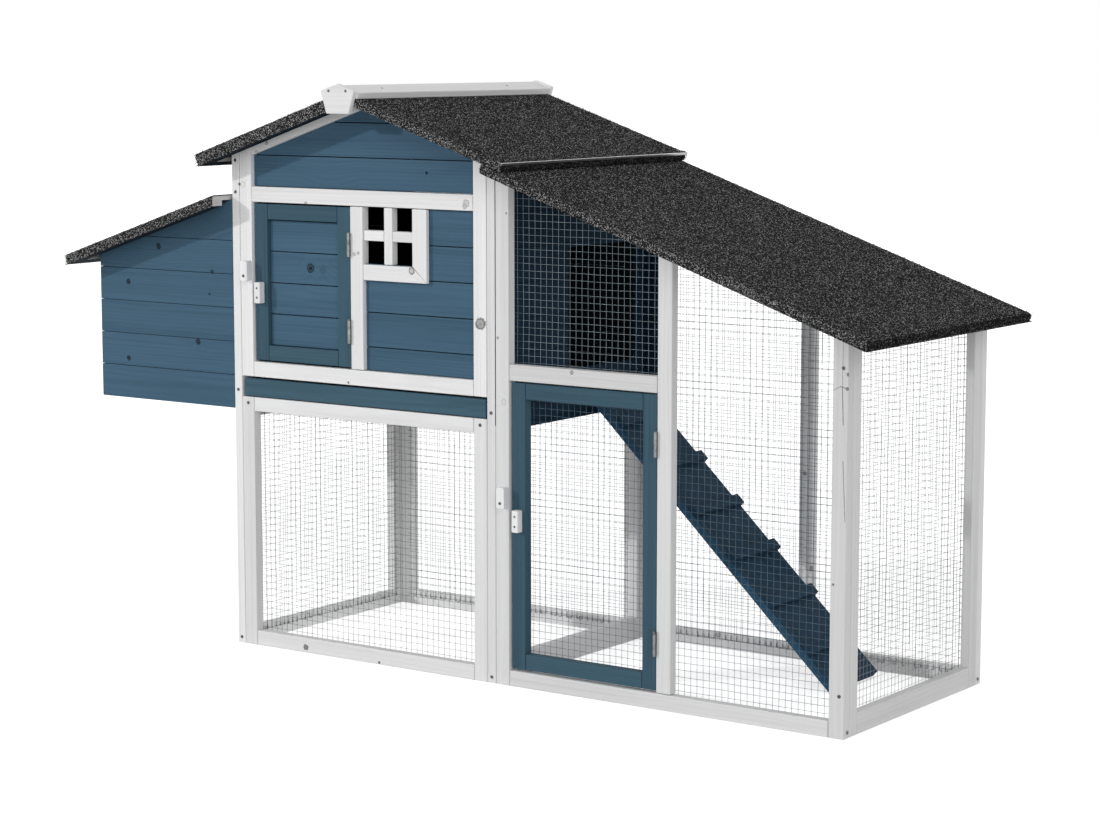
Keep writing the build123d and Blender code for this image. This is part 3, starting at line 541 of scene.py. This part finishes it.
white = wood("white_paint", WHITE_PAINT, WHITE_SHADE, WHITE_KNOT, grain=0.42, knot_share=0.94,
             rough=0.5, shine=0.25, marks=WHITE_MARKS, cracks=WHITE_CRACKS)
blue = wood("blue_stain", BLUE_STAIN, BLUE_SHADE, BLUE_KNOT, grain=0.6, knot_share=0.9,
            rough=0.6, shine=0.08, marks=BLUE_MARKS)
teal = wood("door_frame_stain", TEAL_STAIN, TEAL_SHADE, BLUE_KNOT, grain=0.6, knot_share=0.9,
            rough=0.6, shine=0.08)
bare = wood("bare_timber", PALE_WOOD, PALE_SHADE, PALE_KNOT, grain=0.6, knot_share=0.9,
            rough=0.7, shine=0.15)
# Painted shade in dark blue
shade_blue = wood("painted_shade_blue", SHADE_BLUE_PAINT, SHADE_BLUE_GRAIN, BLUE_KNOT, grain=0.6, knot_share=0.9,
            rough=0.65, shine=0.03)
# Painted light on the ramp's sides
ramp_side_light = wood("painted_ramp_side_light", RAMP_SIDE_LIGHT, RAMP_SIDE_LIGHT_GRAIN, BLUE_KNOT, grain=0.6, knot_share=0.9,
                 rough=0.65, shine=0.03)
# Painted shade for faces inside the rooms and under battens
room_shade = wood("painted_room_shade", ROOM_SHADE_PAINT, ROOM_SHADE_GRAIN, ROOM_SHADE_GRAIN, grain=0.8, knot_share=0.9,
             rough=0.75, shine=0.03)
felt = granules("roof_felt", BITUMEN, GRANULE, share=0.81)
# Felt in painted shade, for faces towards +x
shaded_felt = granules("painted_shade_roof_felt", SHADED_BITUMEN, SHADED_GRANULE, share=0.85)
wire = metal("galvanised_wire", (0.16, 0.175, 0.18), (0.11, 0.12, 0.125), rough=0.45,
             spangle=WIRE_SPANGLE)
# Painted light and painted shade: paler and dimmer copies of the same wire
lit_wire = metal("painted_light_galvanised_wire", (0.2, 0.245, 0.275), (0.145, 0.18, 0.2), rough=0.45,
                  spangle=WIRE_SPANGLE)
shaded_wire = metal("painted_shade_galvanised_wire", (0.085, 0.125, 0.155), (0.06, 0.09, 0.11), rough=0.45,
                 spangle=WIRE_SPANGLE)
steel = metal("hinge_steel", (0.34, 0.35, 0.35), (0.08, 0.083, 0.084), rough=0.38, spangle=140.0)
zinc = metal("screw_steel", (0.16, 0.16, 0.16), (0.07, 0.07, 0.07), rough=0.4, spangle=400.0)
tin = metal("drip_metal", (0.55, 0.55, 0.56), (0.4, 0.4, 0.41), rough=0.4, spangle=90.0)


def solids_of(node):
    """A mesh of a node's solids, with its flat faces in one piece each."""
    bm = bmesh.new()
    bm.from_mesh(NODES[node].data)
    bmesh.ops.remove_doubles(bm, verts=bm.verts, dist=MERGE_DISTANCE)
    bmesh.ops.dissolve_limit(bm, angle_limit=FLAT_ANGLE, verts=bm.verts, edges=bm.edges)
    return bm


def islands(bm):
    """The vertices of each solid, in a settled order."""
    bm.verts.index_update()
    bm.verts.ensure_lookup_table()
    seen, groups = set(), []
    for first in bm.verts:
        if first.index in seen:
            continue
        seen.add(first.index)
        group, stack = [], [first]
        while stack:
            vert = stack.pop()
            group.append(vert)
            for edge in vert.link_edges:
                other = edge.other_vert(vert)
                if other.index not in seen:
                    seen.add(other.index)
                    stack.append(other)
        groups.append(group)
    return groups


def edges_of(group):
    """The edges of a solid, in the order of their indices."""
    return sorted({e for v in group for e in v.link_edges}, key=lambda e: e.index)


def corners(group):
    """Lowest and highest corner of a solid."""
    low = Vector([min(v.co[i] for v in group) for i in range(3)])
    high = Vector([max(v.co[i] for v in group) for i in range(3)])
    return low, high


def settle(bm, name, materials, body, nodes=()):
    """Turns a bmesh into a piece that rides on a body and stands for its nodes."""
    mesh = bpy.data.meshes.new(name)
    bm.to_mesh(mesh)
    bm.free()
    for material in materials:
        mesh.materials.append(material)
    piece = bpy.data.objects.new(name, mesh)
    bpy.context.scene.collection.objects.link(piece)
    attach(piece, body)
    if nodes:
        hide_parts(*nodes)


def round_edges(bm, size, steps=2):
    """Eases the sharp edges of each solid by itself, so that a short edge holds back only its own solid."""
    bm.edges.index_update()
    batches = []
    for group in islands(bm):
        batches.append([e for e in edges_of(group)
                        if len(e.link_faces) == 2 and e.calc_face_angle(0.0) > SHARP_ANGLE])
    for sharp in batches:
        bmesh.ops.bevel(bm, geom=sharp, offset=size, segments=steps, profile=EDGE_PROFILE,
                        affect="EDGES", clamp_overlap=True)


def open_seams(bm, gap):
    """Draws each solid in by a gap on its left, right, top and bottom, so that joints show as lines."""
    for group in islands(bm):
        low, high = corners(group)
        for axis in (0, 2):
            middle = (low[axis] + high[axis]) / 2
            share = 1 - 2 * gap / (high[axis] - low[axis])
            for vert in group:
                vert.co[axis] = middle + share * (vert.co[axis] - middle)


def grain_of(bm, level):
    """Gives each stick its own grain coordinates, along its length first, and a tone near a level.

    The rail on the ground below the nest gets painted light: a paler tone.
    """
    grain = bm.verts.layers.float_vector.new("grain")
    tone = bm.verts.layers.float.new("tone")
    bm.edges.index_update()
    for group in islands(bm):
        runs = [e.verts[1].co - e.verts[0].co for e in edges_of(group)]
        along = max(runs, key=lambda run: round(run.length, 5)).normalized()
        across = max((run - along * run.dot(along) for run in runs), key=lambda run: round(run.length, 5))
        across.normalize()
        thin = along.cross(across)
        middle = sum((v.co for v in group), Vector()) / len(group)
        start = rng.uniform(0.0, GRAIN_SHIFT)
        pith = Vector((0.0, rng.uniform(-PITH_ASIDE, PITH_ASIDE),
                       rng.choice((-1, 1)) * rng.uniform(*PITH_DEPTH)))
        shade = level * rng.uniform(*TONES)
        # Painted light on the low rail inside
        if max(v.co.z for v in group) < LOW_RAIL and abs(middle.y) < LOW_RAIL and middle.x < 0.0:
            shade *= LOW_RAIL_PAINTED_LIGHT
        for vert in group:
            away = vert.co - middle
            vert[grain] = (away.dot(along) + start, away.dot(across) + pith.y, away.dot(thin) + pith.z)
            vert[tone] = shade


def faces_room(face):
    """Whether a face looks into a room from its walls."""
    spot = face.calc_center_median() + ROOM_PROBE * face.normal
    return any(all(low[i] < spot[i] < high[i] for i in range(3)) for low, high in ROOMS)


def fit_window(bm):
    """Pushes the rear of the narrow window bars back into the opening, and mitres the lower corner."""
    solids = [(group, *corners(group)) for group in islands(bm)]
    right = max(high.x for _, _, high in solids)
    foot = min(low.z for _, low, _ in solids)
    stile = next(part for part in solids if part[2].x > right - TOUCH)
    rail = next(part for part in solids if part[1].z < foot + TOUCH and part is not stile)
    for group, low, high in solids:
        for vert in group:
            if min(high.x - low.x, high.z - low.z) < MUNTIN_WIDTH and vert.co.y > high.y - TOUCH:
                vert.co.y += MUNTIN_DEPTH
    for vert in stile[0]:
        if vert.co.x < stile[1].x + TOUCH and vert.co.z < foot + TOUCH:
            vert.co.z = rail[2].z
    for vert in rail[0]:
        if vert.co.x > rail[2].x - TOUCH and vert.co.z < foot + TOUCH:
            vert.co.x = right


# Heights at which frames change between their paint and painted shade, at the rooms and at the shaded bay
bay_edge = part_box("partition_frame")[1].x + BAY_REACH
bay_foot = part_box("partition_boards")[0].z
CUTS = {"left_panel_frame": (HOUSE_FLOOR, NEST_TOP), "partition_frame": (bay_foot, HOUSE_FLOOR),
        "run_rear_frame": (bay_foot,)}


def coat_of(node, face):
    """Which of a piece's coats a face has: 0 its own, 1 painted shade of rooms and batten undersides, 2 dark
    blue painted shade, 3 the ramp's sides in painted light.
    """
    away = face.calc_center_median()
    # Painted shade under battens and on faces that look into a room
    if node.endswith("_battens") and face.normal.z < -HALF_TOWARDS:
        return 1
    if faces_room(face) and not (node.startswith("nest_lid") and face.normal.x > HALF_TOWARDS):
        return 1
    # Painted shade in dark blue on the faces of the shaded bay
    if node in SHADED and face.normal.dot(SHADED[node]) > TOWARDS:
        if away.z > bay_foot and away.x < bay_edge:
            return 2
    # Painted light on the ramp's sides
    if node == "ramp_plank" and abs(face.normal.y) > TOWARDS:
        return 3
    return 0


def timber(node, material, size, level, seam):
    """A node's sticks and boards, with eased edges and grain, and painted shade where they face a room."""
    bm = solids_of(node)
    for height in CUTS.get(node, ()):
        bmesh.ops.bisect_plane(bm, geom=bm.verts[:] + bm.edges[:] + bm.faces[:],
                               plane_co=(0, 0, height), plane_no=(0, 0, 1))
    if node == "window_bars":
        fit_window(bm)
    open_seams(bm, seam)
    round_edges(bm, size)
    grain_of(bm, level)
    for face in bm.faces:
        face.material_index = coat_of(node, face)
    coats = (material, room_shade, shade_blue, ramp_side_light)
    settle(bm, node + "_wood", coats, NODES[node]["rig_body"], [node])


# Timber nodes, with the level of their tone where it isn't 1, and their seams
WHITE_NODES = ("left_panel_frame", "house_front_frame", "house_rear_frame", "window_bars",
               "lower_front_frame", "lower_rear_frame", "partition_frame", "run_front_frame",
               "run_rear_frame", "run_end_frame", "ridge_boards", "ridge_end_blocks",
               "house_door_keeper", "run_door_keeper", "house_latch_button", "run_latch_button")
# Levels below 1 on the run's front and end frames are painted shade, for light that falls off to the right;
# the lower rear frame's level above 1 is painted light
WHITE_LEVELS = {"run_front_frame": 0.88, "run_rear_frame": 0.96, "run_end_frame": 0.83,
                "left_panel_frame": 1.06, "lower_rear_frame": 1.15, "house_front_frame": 1.06,
                "window_bars": 1.05, "house_door_keeper": 1.1, "run_door_keeper": 1.1,
                "house_latch_button": 1.1, "run_latch_button": 1.1}
BLUE_NODES = {"left_panel_boards": 0.9, "house_front_boards": 1.0, "house_rear_boards": 0.95,
              "nest_front_wall": 1.0, "nest_rear_wall": 0.95, "nest_end_wall": 0.95, "tray_fascia": 0.93,
              "house_door_frame": 0.85, "house_door_boards": 1.1, "run_door_frame": 0.82}
BLUE_SEAMS = {"house_front_boards": STICK_SEAM, "house_door_boards": STICK_SEAM,
              "nest_front_wall": NEST_SEAM, "house_door_frame": STICK_SEAM,
              "run_door_frame": STICK_SEAM, "tray_fascia": FASCIA_SEAM}
TEAL_NODES = ("house_door_frame", "run_door_frame", "tray_fascia")
# Nodes in dark blue painted shade: the partition, the ramp and the tray's runners
SHADE_BLUE_NODES = {"partition_boards": 1.0, "ramp_plank": 1.8, "ramp_cleats": 1.7, "tray_runners": 1.2}
BARE_NODES = ("tray_pan", "nest_floor", "roof_left_deck", "roof_left_battens",
              "roof_right_deck", "run_roof_deck", "nest_lid_deck", "nest_lid_battens")
for node in WHITE_NODES:
    timber(node, white, WHITE_EDGE, WHITE_LEVELS.get(node, 1.0), STICK_SEAM)
for node, level in BLUE_NODES.items():
    coat = teal if node in TEAL_NODES else blue
    timber(node, coat, BLUE_EDGE, level, BLUE_SEAMS.get(node, 0.0))
for node, level in SHADE_BLUE_NODES.items():
    timber(node, shade_blue, BLUE_EDGE, level, 0.0)
for node in BARE_NODES:
    timber(node, bare, BARE_EDGE, 1.0, 0.0)

# Rail that closes the tray's slot at the rear
upper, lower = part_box("house_rear_frame"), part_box("lower_rear_frame")
bm = bmesh.new()
bmesh.ops.create_cube(bm, size=1.0)
for vert in bm.verts:
    vert.co.x = (lower[1].x if vert.co.x > 0 else lower[0].x) - math.copysign(STOP_GAP, vert.co.x)
    vert.co.y = lower[1].y - (STOP_GAP if vert.co.y > 0 else STOP_THICK)
    vert.co.z = upper[0].z - STOP_GAP if vert.co.z > 0 else lower[1].z + STOP_GAP
round_edges(bm, WHITE_EDGE)
grain_of(bm, STOP_LEVEL)
settle(bm, "tray_stop_rail", (white,), "frame")


def grit(bm, speck, corner, first, second, normal):
    """Scatters loose grains over a flat patch that starts at a corner and runs along two sides; grains on a
    patch facing +x get painted shade.
    """
    count = int(first.length * second.length / GRIT_AREA)
    # Painted shade on grains that face +x
    wear_and_shade = normal.x > EAVE_FACING
    for _ in range(count):
        size = rng.uniform(*GRIT_SIZES)
        middle = corner + first * rng.random() + second * rng.random() + normal * (GRIT_LIFT * size)
        axle = Vector([rng.uniform(-1, 1) for _ in range(3)])
        turn = Matrix.Rotation(rng.uniform(0.0, GRIT_TURN), 3, axle.normalized())
        grey = rng.random() ** GRIT_POWER * (SHADED_GRIT_SHARE if wear_and_shade else 1.0)
        points = []
        for axis in range(3):
            for side in (1, -1):
                spoke = Vector((0.0, 0.0, 0.0))
                spoke[axis] = side * size * rng.uniform(*GRIT_SPOKES)
                points.append(bm.verts.new(middle + turn @ spoke))
        for point in points:
            point[speck] = grey
        for a in (0, 1):
            for b in (2, 3):
                for c in (4, 5):
                    order = (a, b, c) if (a + b + c) % 2 == 0 else (a, c, b)
                    bm.faces.new([points[i] for i in order]).material_index = int(wear_and_shade)


def lips_of(bm, node):
    """The turned edges of a felt that face outwards: a corner, two sides and a normal for each."""
    lips = []
    for face in bm.faces:
        long_side = max(face.edges, key=lambda edge: edge.calc_length())
        length = long_side.calc_length()
        away = face.calc_center_median()
        outer = abs(face.normal.y) > SQUARE_ON and abs(away.y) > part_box(node)[1].y - LIP_NEAR
        outer = outer or (abs(face.normal.x) > SQUARE_ON
                          and face.normal.x * (away.x - ridge_x) > EAVE_REACH)
        low, high = LIP_HEIGHTS
        if outer and low < face.calc_area() / length < high and length > LIP_LENGTH:
            start, end = (vert.co for vert in long_side.verts)
            lips.append((start.copy(), end - start, 2 * (away - (start + end) / 2), face.normal.copy()))
    return lips


def broad(edge, convex):
    """Whether an edge is a bend between two wide faces of a felt."""
    wide = all(face.calc_area() > BROAD_FACE for face in edge.link_faces)
    return wide and edge.calc_face_angle(0.0) > SHARP_ANGLE and edge.is_convex == convex


def felted(node):
    """A roof felt that wraps its deck with rounded edges, with loose grains on its turned edges, and painted
    shade on its faces towards +x.
    """
    bm = solids_of(node)
    lips = lips_of(bm, node)
    for convex, size in FELT_BENDS:
        edges = [e for e in bm.edges if broad(e, convex)]
        bmesh.ops.bevel(bm, geom=edges, offset=size, segments=BEND_STEPS, profile=BEND_PROFILE,
                        affect="EDGES", clamp_overlap=False)
    bm.normal_update()
    # Painted shade: faces towards +x take the shaded felt
    for face in bm.faces:
        face.material_index = int(face.normal.x > EAVE_FACING)
    speck = bm.verts.layers.float.new("speck")
    for lip in lips:
        grit(bm, speck, *lip)
    settle(bm, node + "_sheet", (felt, shaded_felt), NODES[node]["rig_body"], [node])


ridge_x = (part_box("ridge_boards")[0].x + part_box("ridge_boards")[1].x) / 2
for node in ("roof_left_felt", "roof_right_felt", "run_roof_felt", "nest_lid_felt"):
    felted(node)


def tube(points, radius, sides, verts, faces):
    """Adds a wire along points to lists of vertices and faces, closed at its ends."""
    first = len(verts)
    for index, point in enumerate(points):
        before = points[max(index - 1, 0)]
        after = points[min(index + 1, len(points) - 1)]
        heading = (after - before).normalized()
        side = heading.orthogonal().normalized()
        up = heading.cross(side)
        for corner in range(sides):
            turn = 2 * math.pi * corner / sides
            verts.append(point + radius * (math.cos(turn) * side + math.sin(turn) * up))
    for row in range(len(points) - 1):
        for corner in range(sides):
            a = first + row * sides + corner
            b = first + row * sides + (corner + 1) % sides
            faces.append((a, b, b + sides, a + sides))
    faces.append(tuple(range(first + sides - 1, first - 1, -1)))
    last = first + (len(points) - 1) * sides
    faces.append(tuple(range(last, last + sides)))


def crossing(outline, axis, value):
    """Where a line at value on one axis crosses a convex outline, low and high."""
    found = []
    for one, two in zip(outline, outline[1:] + outline[:1]):
        a, b = one[axis], two[axis]
        if min(a, b) <= value <= max(a, b) and a != b:
            share = (value - a) / (b - a)
            found.append(one[1 - axis] + share * (two[1 - axis] - one[1 - axis]))
    return min(found), max(found)


def hook(foot, across, inward):
    """Points of a wire end that drops from the foot of a net and curls over its rail."""
    side = rng.choice((-1.0, 1.0))
    size = rng.uniform(*HOOK_SIZES)
    sweep = rng.uniform(*HOOK_SWEEPS) * math.pi
    start = foot + Vector((0.0, 0.0, HOOK_RISE))
    points = [start]
    for step in range(HOOK_BENDS + 1):
        turn = sweep * step / HOOK_BENDS
        point = start + inward * (HOOK_CLEAR + HOOK_LEAN * step / HOOK_BENDS)
        point[across] += side * size * (1 - math.cos(turn))
        point.z -= HOOK_DROP + size * math.sin(turn)
        points.append(point)
    return points


def strand(axis, value, ends, phase):
    """Points of a wire in a net's plane, at value on one axis and from end to end on the other."""
    steps = max(1, round((ends[1] - ends[0]) / WIRE_STEP))
    spots = []
    for step in range(steps + 1):
        spot = [0.0, 0.0]
        spot[axis], spot[1 - axis] = value, ends[0] + (ends[1] - ends[0]) * step / steps
        sway = noise.noise(Vector((spot[0] * SWAY_RATE, spot[1] * SWAY_RATE, phase + SWAY_SHIFT * axis)))
        kink = noise.noise(Vector((spot[0] * KINK_RATE, spot[1] * KINK_RATE, phase + KINK_SHIFT * axis)))
        spot[axis] += NET_WOBBLE * (sway + KINK_SHARE * kink)
        spots.append(spot)
    return spots


# Nets whose wires get painted light, paler on the upper net before the dark bay, and painted shade, dimmer on
# the run's front and door nets
NET_COATS = {"run_upper_mesh": lit_wire, "run_front_mesh": shaded_wire, "run_door_mesh": shaded_wire}


def net(node):
    """Welded wire netting over the outline of a net, with its wire ends curled over the rail below."""
    low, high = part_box(node)
    normal = 0 if high.x - low.x < high.y - low.y else 1
    across = 1 - normal
    depth = (low[normal] + high[normal]) / 2
    inward = Vector((0.0, 0.0, 0.0))
    inward[normal] = -math.copysign(1.0, depth)
    bm = solids_of(node)
    verts, faces = [], []
    for group in islands(bm):
        flat = [Vector((v.co[across], v.co.z)) for v in group]
        outline = [tuple(flat[i]) for i in convex_hull_2d(flat)]
        phase = rng.uniform(0.0, NET_PHASES)
        for axis in (0, 1):
            values = [corner[axis] for corner in outline]
            count = int((max(values) - min(values) - NET_MARGIN) / NET_PITCH)
            start = (max(values) + min(values) - count * NET_PITCH) / 2
            lift = WIRE_RADIUS * (WIRE_LIFT if axis else -WIRE_LIFT)
            for line in range(count + 1):
                value = start + line * NET_PITCH
                points = []
                for spot in strand(axis, value, crossing(outline, axis, value), phase):
                    point = Vector((0.0, 0.0, spot[1]))
                    point[across], point[normal] = spot[0], depth + lift
                    points.append(point)
                tube(points, WIRE_RADIUS, WIRE_SIDES, verts, faces)
                if axis == 0 and node != "run_door_mesh" and rng.random() < HOOK_SHARE:
                    tube(hook(points[0], across, inward), HOOK_RADIUS, WIRE_SIDES, verts, faces)
    bm.free()
    mesh = bmesh.new()
    made = [mesh.verts.new(v) for v in verts]
    for face in faces:
        mesh.faces.new([made[i] for i in face])
    for face in mesh.faces:
        face.smooth = len(face.verts) == 4
    coat = NET_COATS.get(node, wire)
    settle(mesh, node + "_wires", (coat,), NODES[node]["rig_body"], [node])


for node in ("left_panel_mesh", "lower_front_mesh", "lower_rear_mesh", "run_front_mesh",
             "run_upper_mesh", "run_rear_mesh", "run_end_mesh", "run_door_mesh"):
    net(node)


def turned(x, y, angle):
    """A point in the plane, turned about the origin."""
    return x * math.cos(angle) - y * math.sin(angle), x * math.sin(angle) + y * math.cos(angle)


def screw_head(bm, place, facing, radius, height, turn):
    """A low domed screw head with a cross recess, its foot at place."""
    frame_turn = facing.to_track_quat("Z", "Y").to_matrix() @ Matrix.Rotation(turn, 3, "Z")

    def at(x, y, z):
        return bm.verts.new(place + frame_turn @ Vector((x, y, z)))

    rims = []
    for share, rise in HEAD_PROFILE:
        angles = [2 * math.pi * i / HEAD_SIDES for i in range(HEAD_SIDES)]
        rims.append([at(radius * share * math.cos(angle), radius * share * math.sin(angle), height * rise)
                     for angle in angles])
    for below, above in zip(rims, rims[1:]):
        for i in range(HEAD_SIDES):
            j = (i + 1) % HEAD_SIDES
            bm.faces.new((below[i], below[j], above[j], above[i]))
    far, slim = RECESS_LONG * radius, RECESS_SLIM * radius
    cross = []
    for quarter in range(4):
        for x, y in ((far, -slim), (far, slim), (slim, slim)):
            cross.append(turned(x, y, quarter * math.pi / 2))
    top = [at(x, y, height) for x, y in cross]
    floor = [at(RECESS_TAPER * x, RECESS_TAPER * y, RECESS_FLOOR * height) for x, y in cross]
    edges = []
    for loop in (rims[-1], top):
        for vert, after in zip(loop, loop[1:] + loop[:1]):
            edges.append(bm.edges.get((vert, after)) or bm.edges.new((vert, after)))
    bmesh.ops.triangle_fill(bm, edges=edges, use_beauty=True)
    for i in range(len(top)):
        j = (i + 1) % len(top)
        bm.faces.new((top[i], top[j], floor[j], floor[i]))
    bm.faces.new(floor)
    bm.faces.new(rims[0][::-1])


def middles(node):
    """Middle in x, front, rear and middle in z of each solid of a node."""
    bm = solids_of(node)
    found = []
    for group in islands(bm):
        low, high = corners(group)
        found.append(((low.x + high.x) / 2, low.y, high.y, (low.z + high.z) / 2))
    bm.free()
    return found


def screws(name, places, head, body, nodes=()):
    """Screw heads of one size at places, each with the way that it faces."""
    bm = bmesh.new()
    for place, facing in places:
        screw_head(bm, Vector(place), facing, *head, rng.uniform(0.0, math.pi))
    settle(bm, name, (zinc,), body, nodes)


# Screws through the corner strips and the run's end
strips = middles("frame_screws")
half_depth = -strips[0][2]
run_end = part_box("run_end_frame")[1].x
ends = [((x, rear, z), FRONT) for x, _, rear, z in strips]
ends += [((x, half_depth, z), BACK) for x, _, _, z in strips]
ends += [((run_end, side * (half_depth - END_SCREW_INSET), END_SCREW_HEIGHT), RIGHT) for side in (-1, 1)]
screws("frame_screw_heads", ends, FRAME_HEAD, "frame", ["frame_screws"])

# Screws and nails of the ridge cap
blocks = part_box("ridge_end_blocks")
block_z = blocks[1].z - BLOCK_SCREW_DROP
ends = [((ridge_x + side * BLOCK_SCREW_REACH, facing.y * blocks[1].y, block_z), facing)
        for side in (-1, 1) for facing in (FRONT, BACK)]
screws("ridge_screw_heads", ends, RIDGE_HEAD, "frame")
rib = Vector((ridge_x + RIDGE_NAIL_REACH, 0.0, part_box("ridge_boards")[1].z - RIDGE_NAIL_DROP))
ends = [(tuple(rib + Vector((0.0, y, 0.0))), RIDGE_SLOPE) for y in RIDGE_NAIL_YS]
screws("ridge_nails", ends, RIDGE_NAIL, "frame")

# Screws of the turn buttons and the doors' keepers
ends = [((x, front + LATCH_SCREW_SINK, z), FRONT) for x, front, _, z in middles("latch_screws")]
screws("latch_screw_heads", ends, LATCH_HEAD, "frame", ["latch_screws"])
for door in ("house_door", "run_door"):
    low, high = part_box(door + "_keeper")
    ends = [(((low.x + high.x) / 2, low.y, low.z + share * (high.z - low.z)), FRONT)
            for share in KEEPER_SHARES]
    screws(door + "_keeper_screws", ends, KEEPER_HEAD, door)

# Nails at the ends of the nest's boards, below its sloping top
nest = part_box("nest_front_wall")
nails = []
for row in range(NEST_BOARDS):
    for share in NEST_NAIL_SHARES:
        height = nest[0].z + (row + share) * NEST_BOARD_PITCH
        for x in (nest[0].x + NEST_NAIL_INSETS[0], nest[1].x - NEST_NAIL_INSETS[1]):
            if height < nest[1].z - NEST_NAIL_DROP - NEST_SLOPE * (nest[1].x - x):
                for facing in (FRONT, BACK):
                    aside = rng.uniform(-NEST_NAIL_JITTER, NEST_NAIL_JITTER)
                    nails.append(((x + aside, facing.y * half_depth, height), facing))
screws("nest_nails", nails, NEST_NAIL, "frame")

# Metal drip edge; its faces that look up take the roof felt's dark colour as painted shade, leaving the lip
# bright
bm = solids_of("roof_drip_edge")
round_edges(bm, DRIP_EDGE, 1)
# Painted shade: upward faces take the felt
for face in bm.faces:
    face.material_index = int(face.normal.z > DRIP_TOP_FACING)
settle(bm, "drip_strip", (tin, felt), "frame", ["roof_drip_edge"])

# Hinges, which keep the form of their solids
FINISHES = {
    "frame_hinge_leaves": steel, "hinge_pins": steel, "house_door_hinge_leaves": steel,
    "run_door_hinge_leaves": steel, "nest_lid_hinge_leaves": steel, "ramp_hinge_leaves": zinc,
}
for node, material in FINISHES.items():
    NODES[node].data.materials.clear()
    NODES[node].data.materials.append(material)


def add(tree, kind, inputs=()):
    """A new node of a tree, with values for its inputs."""
    made = tree.nodes.new("ShaderNode" + kind)
    for key, value in dict(inputs).items():
        made.inputs[key].default_value = value
    return made


def seen_directly(tree):
    """A node output that is 1 for rays from the camera, also by way of glossy or clear surfaces."""
    path = add(tree, "LightPath")
    seen = path.outputs["Is Camera Ray"]
    for kind in ("Is Glossy Ray", "Is Transmission Ray"):
        either = add(tree, "Math")
        either.operation = "MAXIMUM"
        tree.links.new(seen, either.inputs[0])
        tree.links.new(path.outputs[kind], either.inputs[1])
        seen = either.outputs[0]
    return seen


def sun(name, direction, strength, angle):
    """A sun lamp that shines along a direction."""
    lamp = bpy.data.lights.new(name, "SUN")
    lamp.energy = strength
    lamp.angle = math.radians(angle)
    made = bpy.data.objects.new(name, lamp)
    made.rotation_mode = "QUATERNION"
    made.rotation_quaternion = Vector(direction).to_track_quat("-Z", "Y")
    bpy.context.scene.collection.objects.link(made)


# World: a white backdrop that lights the coop more softly than it shows
world = bpy.data.worlds.new("studio")
world.use_nodes = True
bpy.context.scene.world = world
tree = world.node_tree
tree.nodes.clear()
glow = add(tree, "Background", {"Color": PURE_WHITE, "Strength": AMBIENT})
backdrop = add(tree, "Background", {"Color": PURE_WHITE, "Strength": BACKDROP})
choose = add(tree, "MixShader")
output = add(tree, "OutputWorld")
tree.links.new(seen_directly(tree), choose.inputs[0])
tree.links.new(glow.outputs[0], choose.inputs[1])
tree.links.new(backdrop.outputs[0], choose.inputs[2])
tree.links.new(choose.outputs[0], output.inputs["Surface"])

# Floor, lifted towards white where it is seen
floor_bm = bmesh.new()
bmesh.ops.create_grid(floor_bm, x_segments=2, y_segments=2, size=FLOOR_HALF)
floor_mesh = bpy.data.meshes.new("floor")
floor_bm.to_mesh(floor_mesh)
floor_bm.free()
floor_material = bpy.data.materials.new("studio_floor")
floor_material.use_nodes = True
tree = floor_material.node_tree
tree.nodes.clear()
matt = add(tree, "BsdfDiffuse", {"Color": FLOOR_WHITE})
light = add(tree, "Emission")
lift = add(tree, "Math", {1: FLOOR_LIFT})
lift.operation = "MULTIPLY"
both = add(tree, "AddShader")
output = add(tree, "OutputMaterial")
tree.links.new(seen_directly(tree), lift.inputs[0])
tree.links.new(lift.outputs[0], light.inputs["Strength"])
tree.links.new(matt.outputs[0], both.inputs[0])
tree.links.new(light.outputs[0], both.inputs[1])
tree.links.new(both.outputs[0], output.inputs["Surface"])
floor_mesh.materials.append(floor_material)
floor = bpy.data.objects.new("floor", floor_mesh)
bpy.context.scene.collection.objects.link(floor)

for settings in SUNS:
    sun(*settings)

camera = bpy.data.cameras.new("camera")
camera.lens = CAMERA_LENS
camera.sensor_width = SENSOR_WIDTH
camera.clip_end = CLIP_END
eye = bpy.data.objects.new("camera", camera)
eye.location = CAMERA_PLACE
eye.rotation_euler = (math.pi / 2 + CAMERA_PITCH, 0.0, CAMERA_YAW)
bpy.context.scene.collection.objects.link(eye)
bpy.context.scene.camera = eye
bpy.context.scene.view_settings.view_transform = "Standard"

bpy.context.view_layer.update()
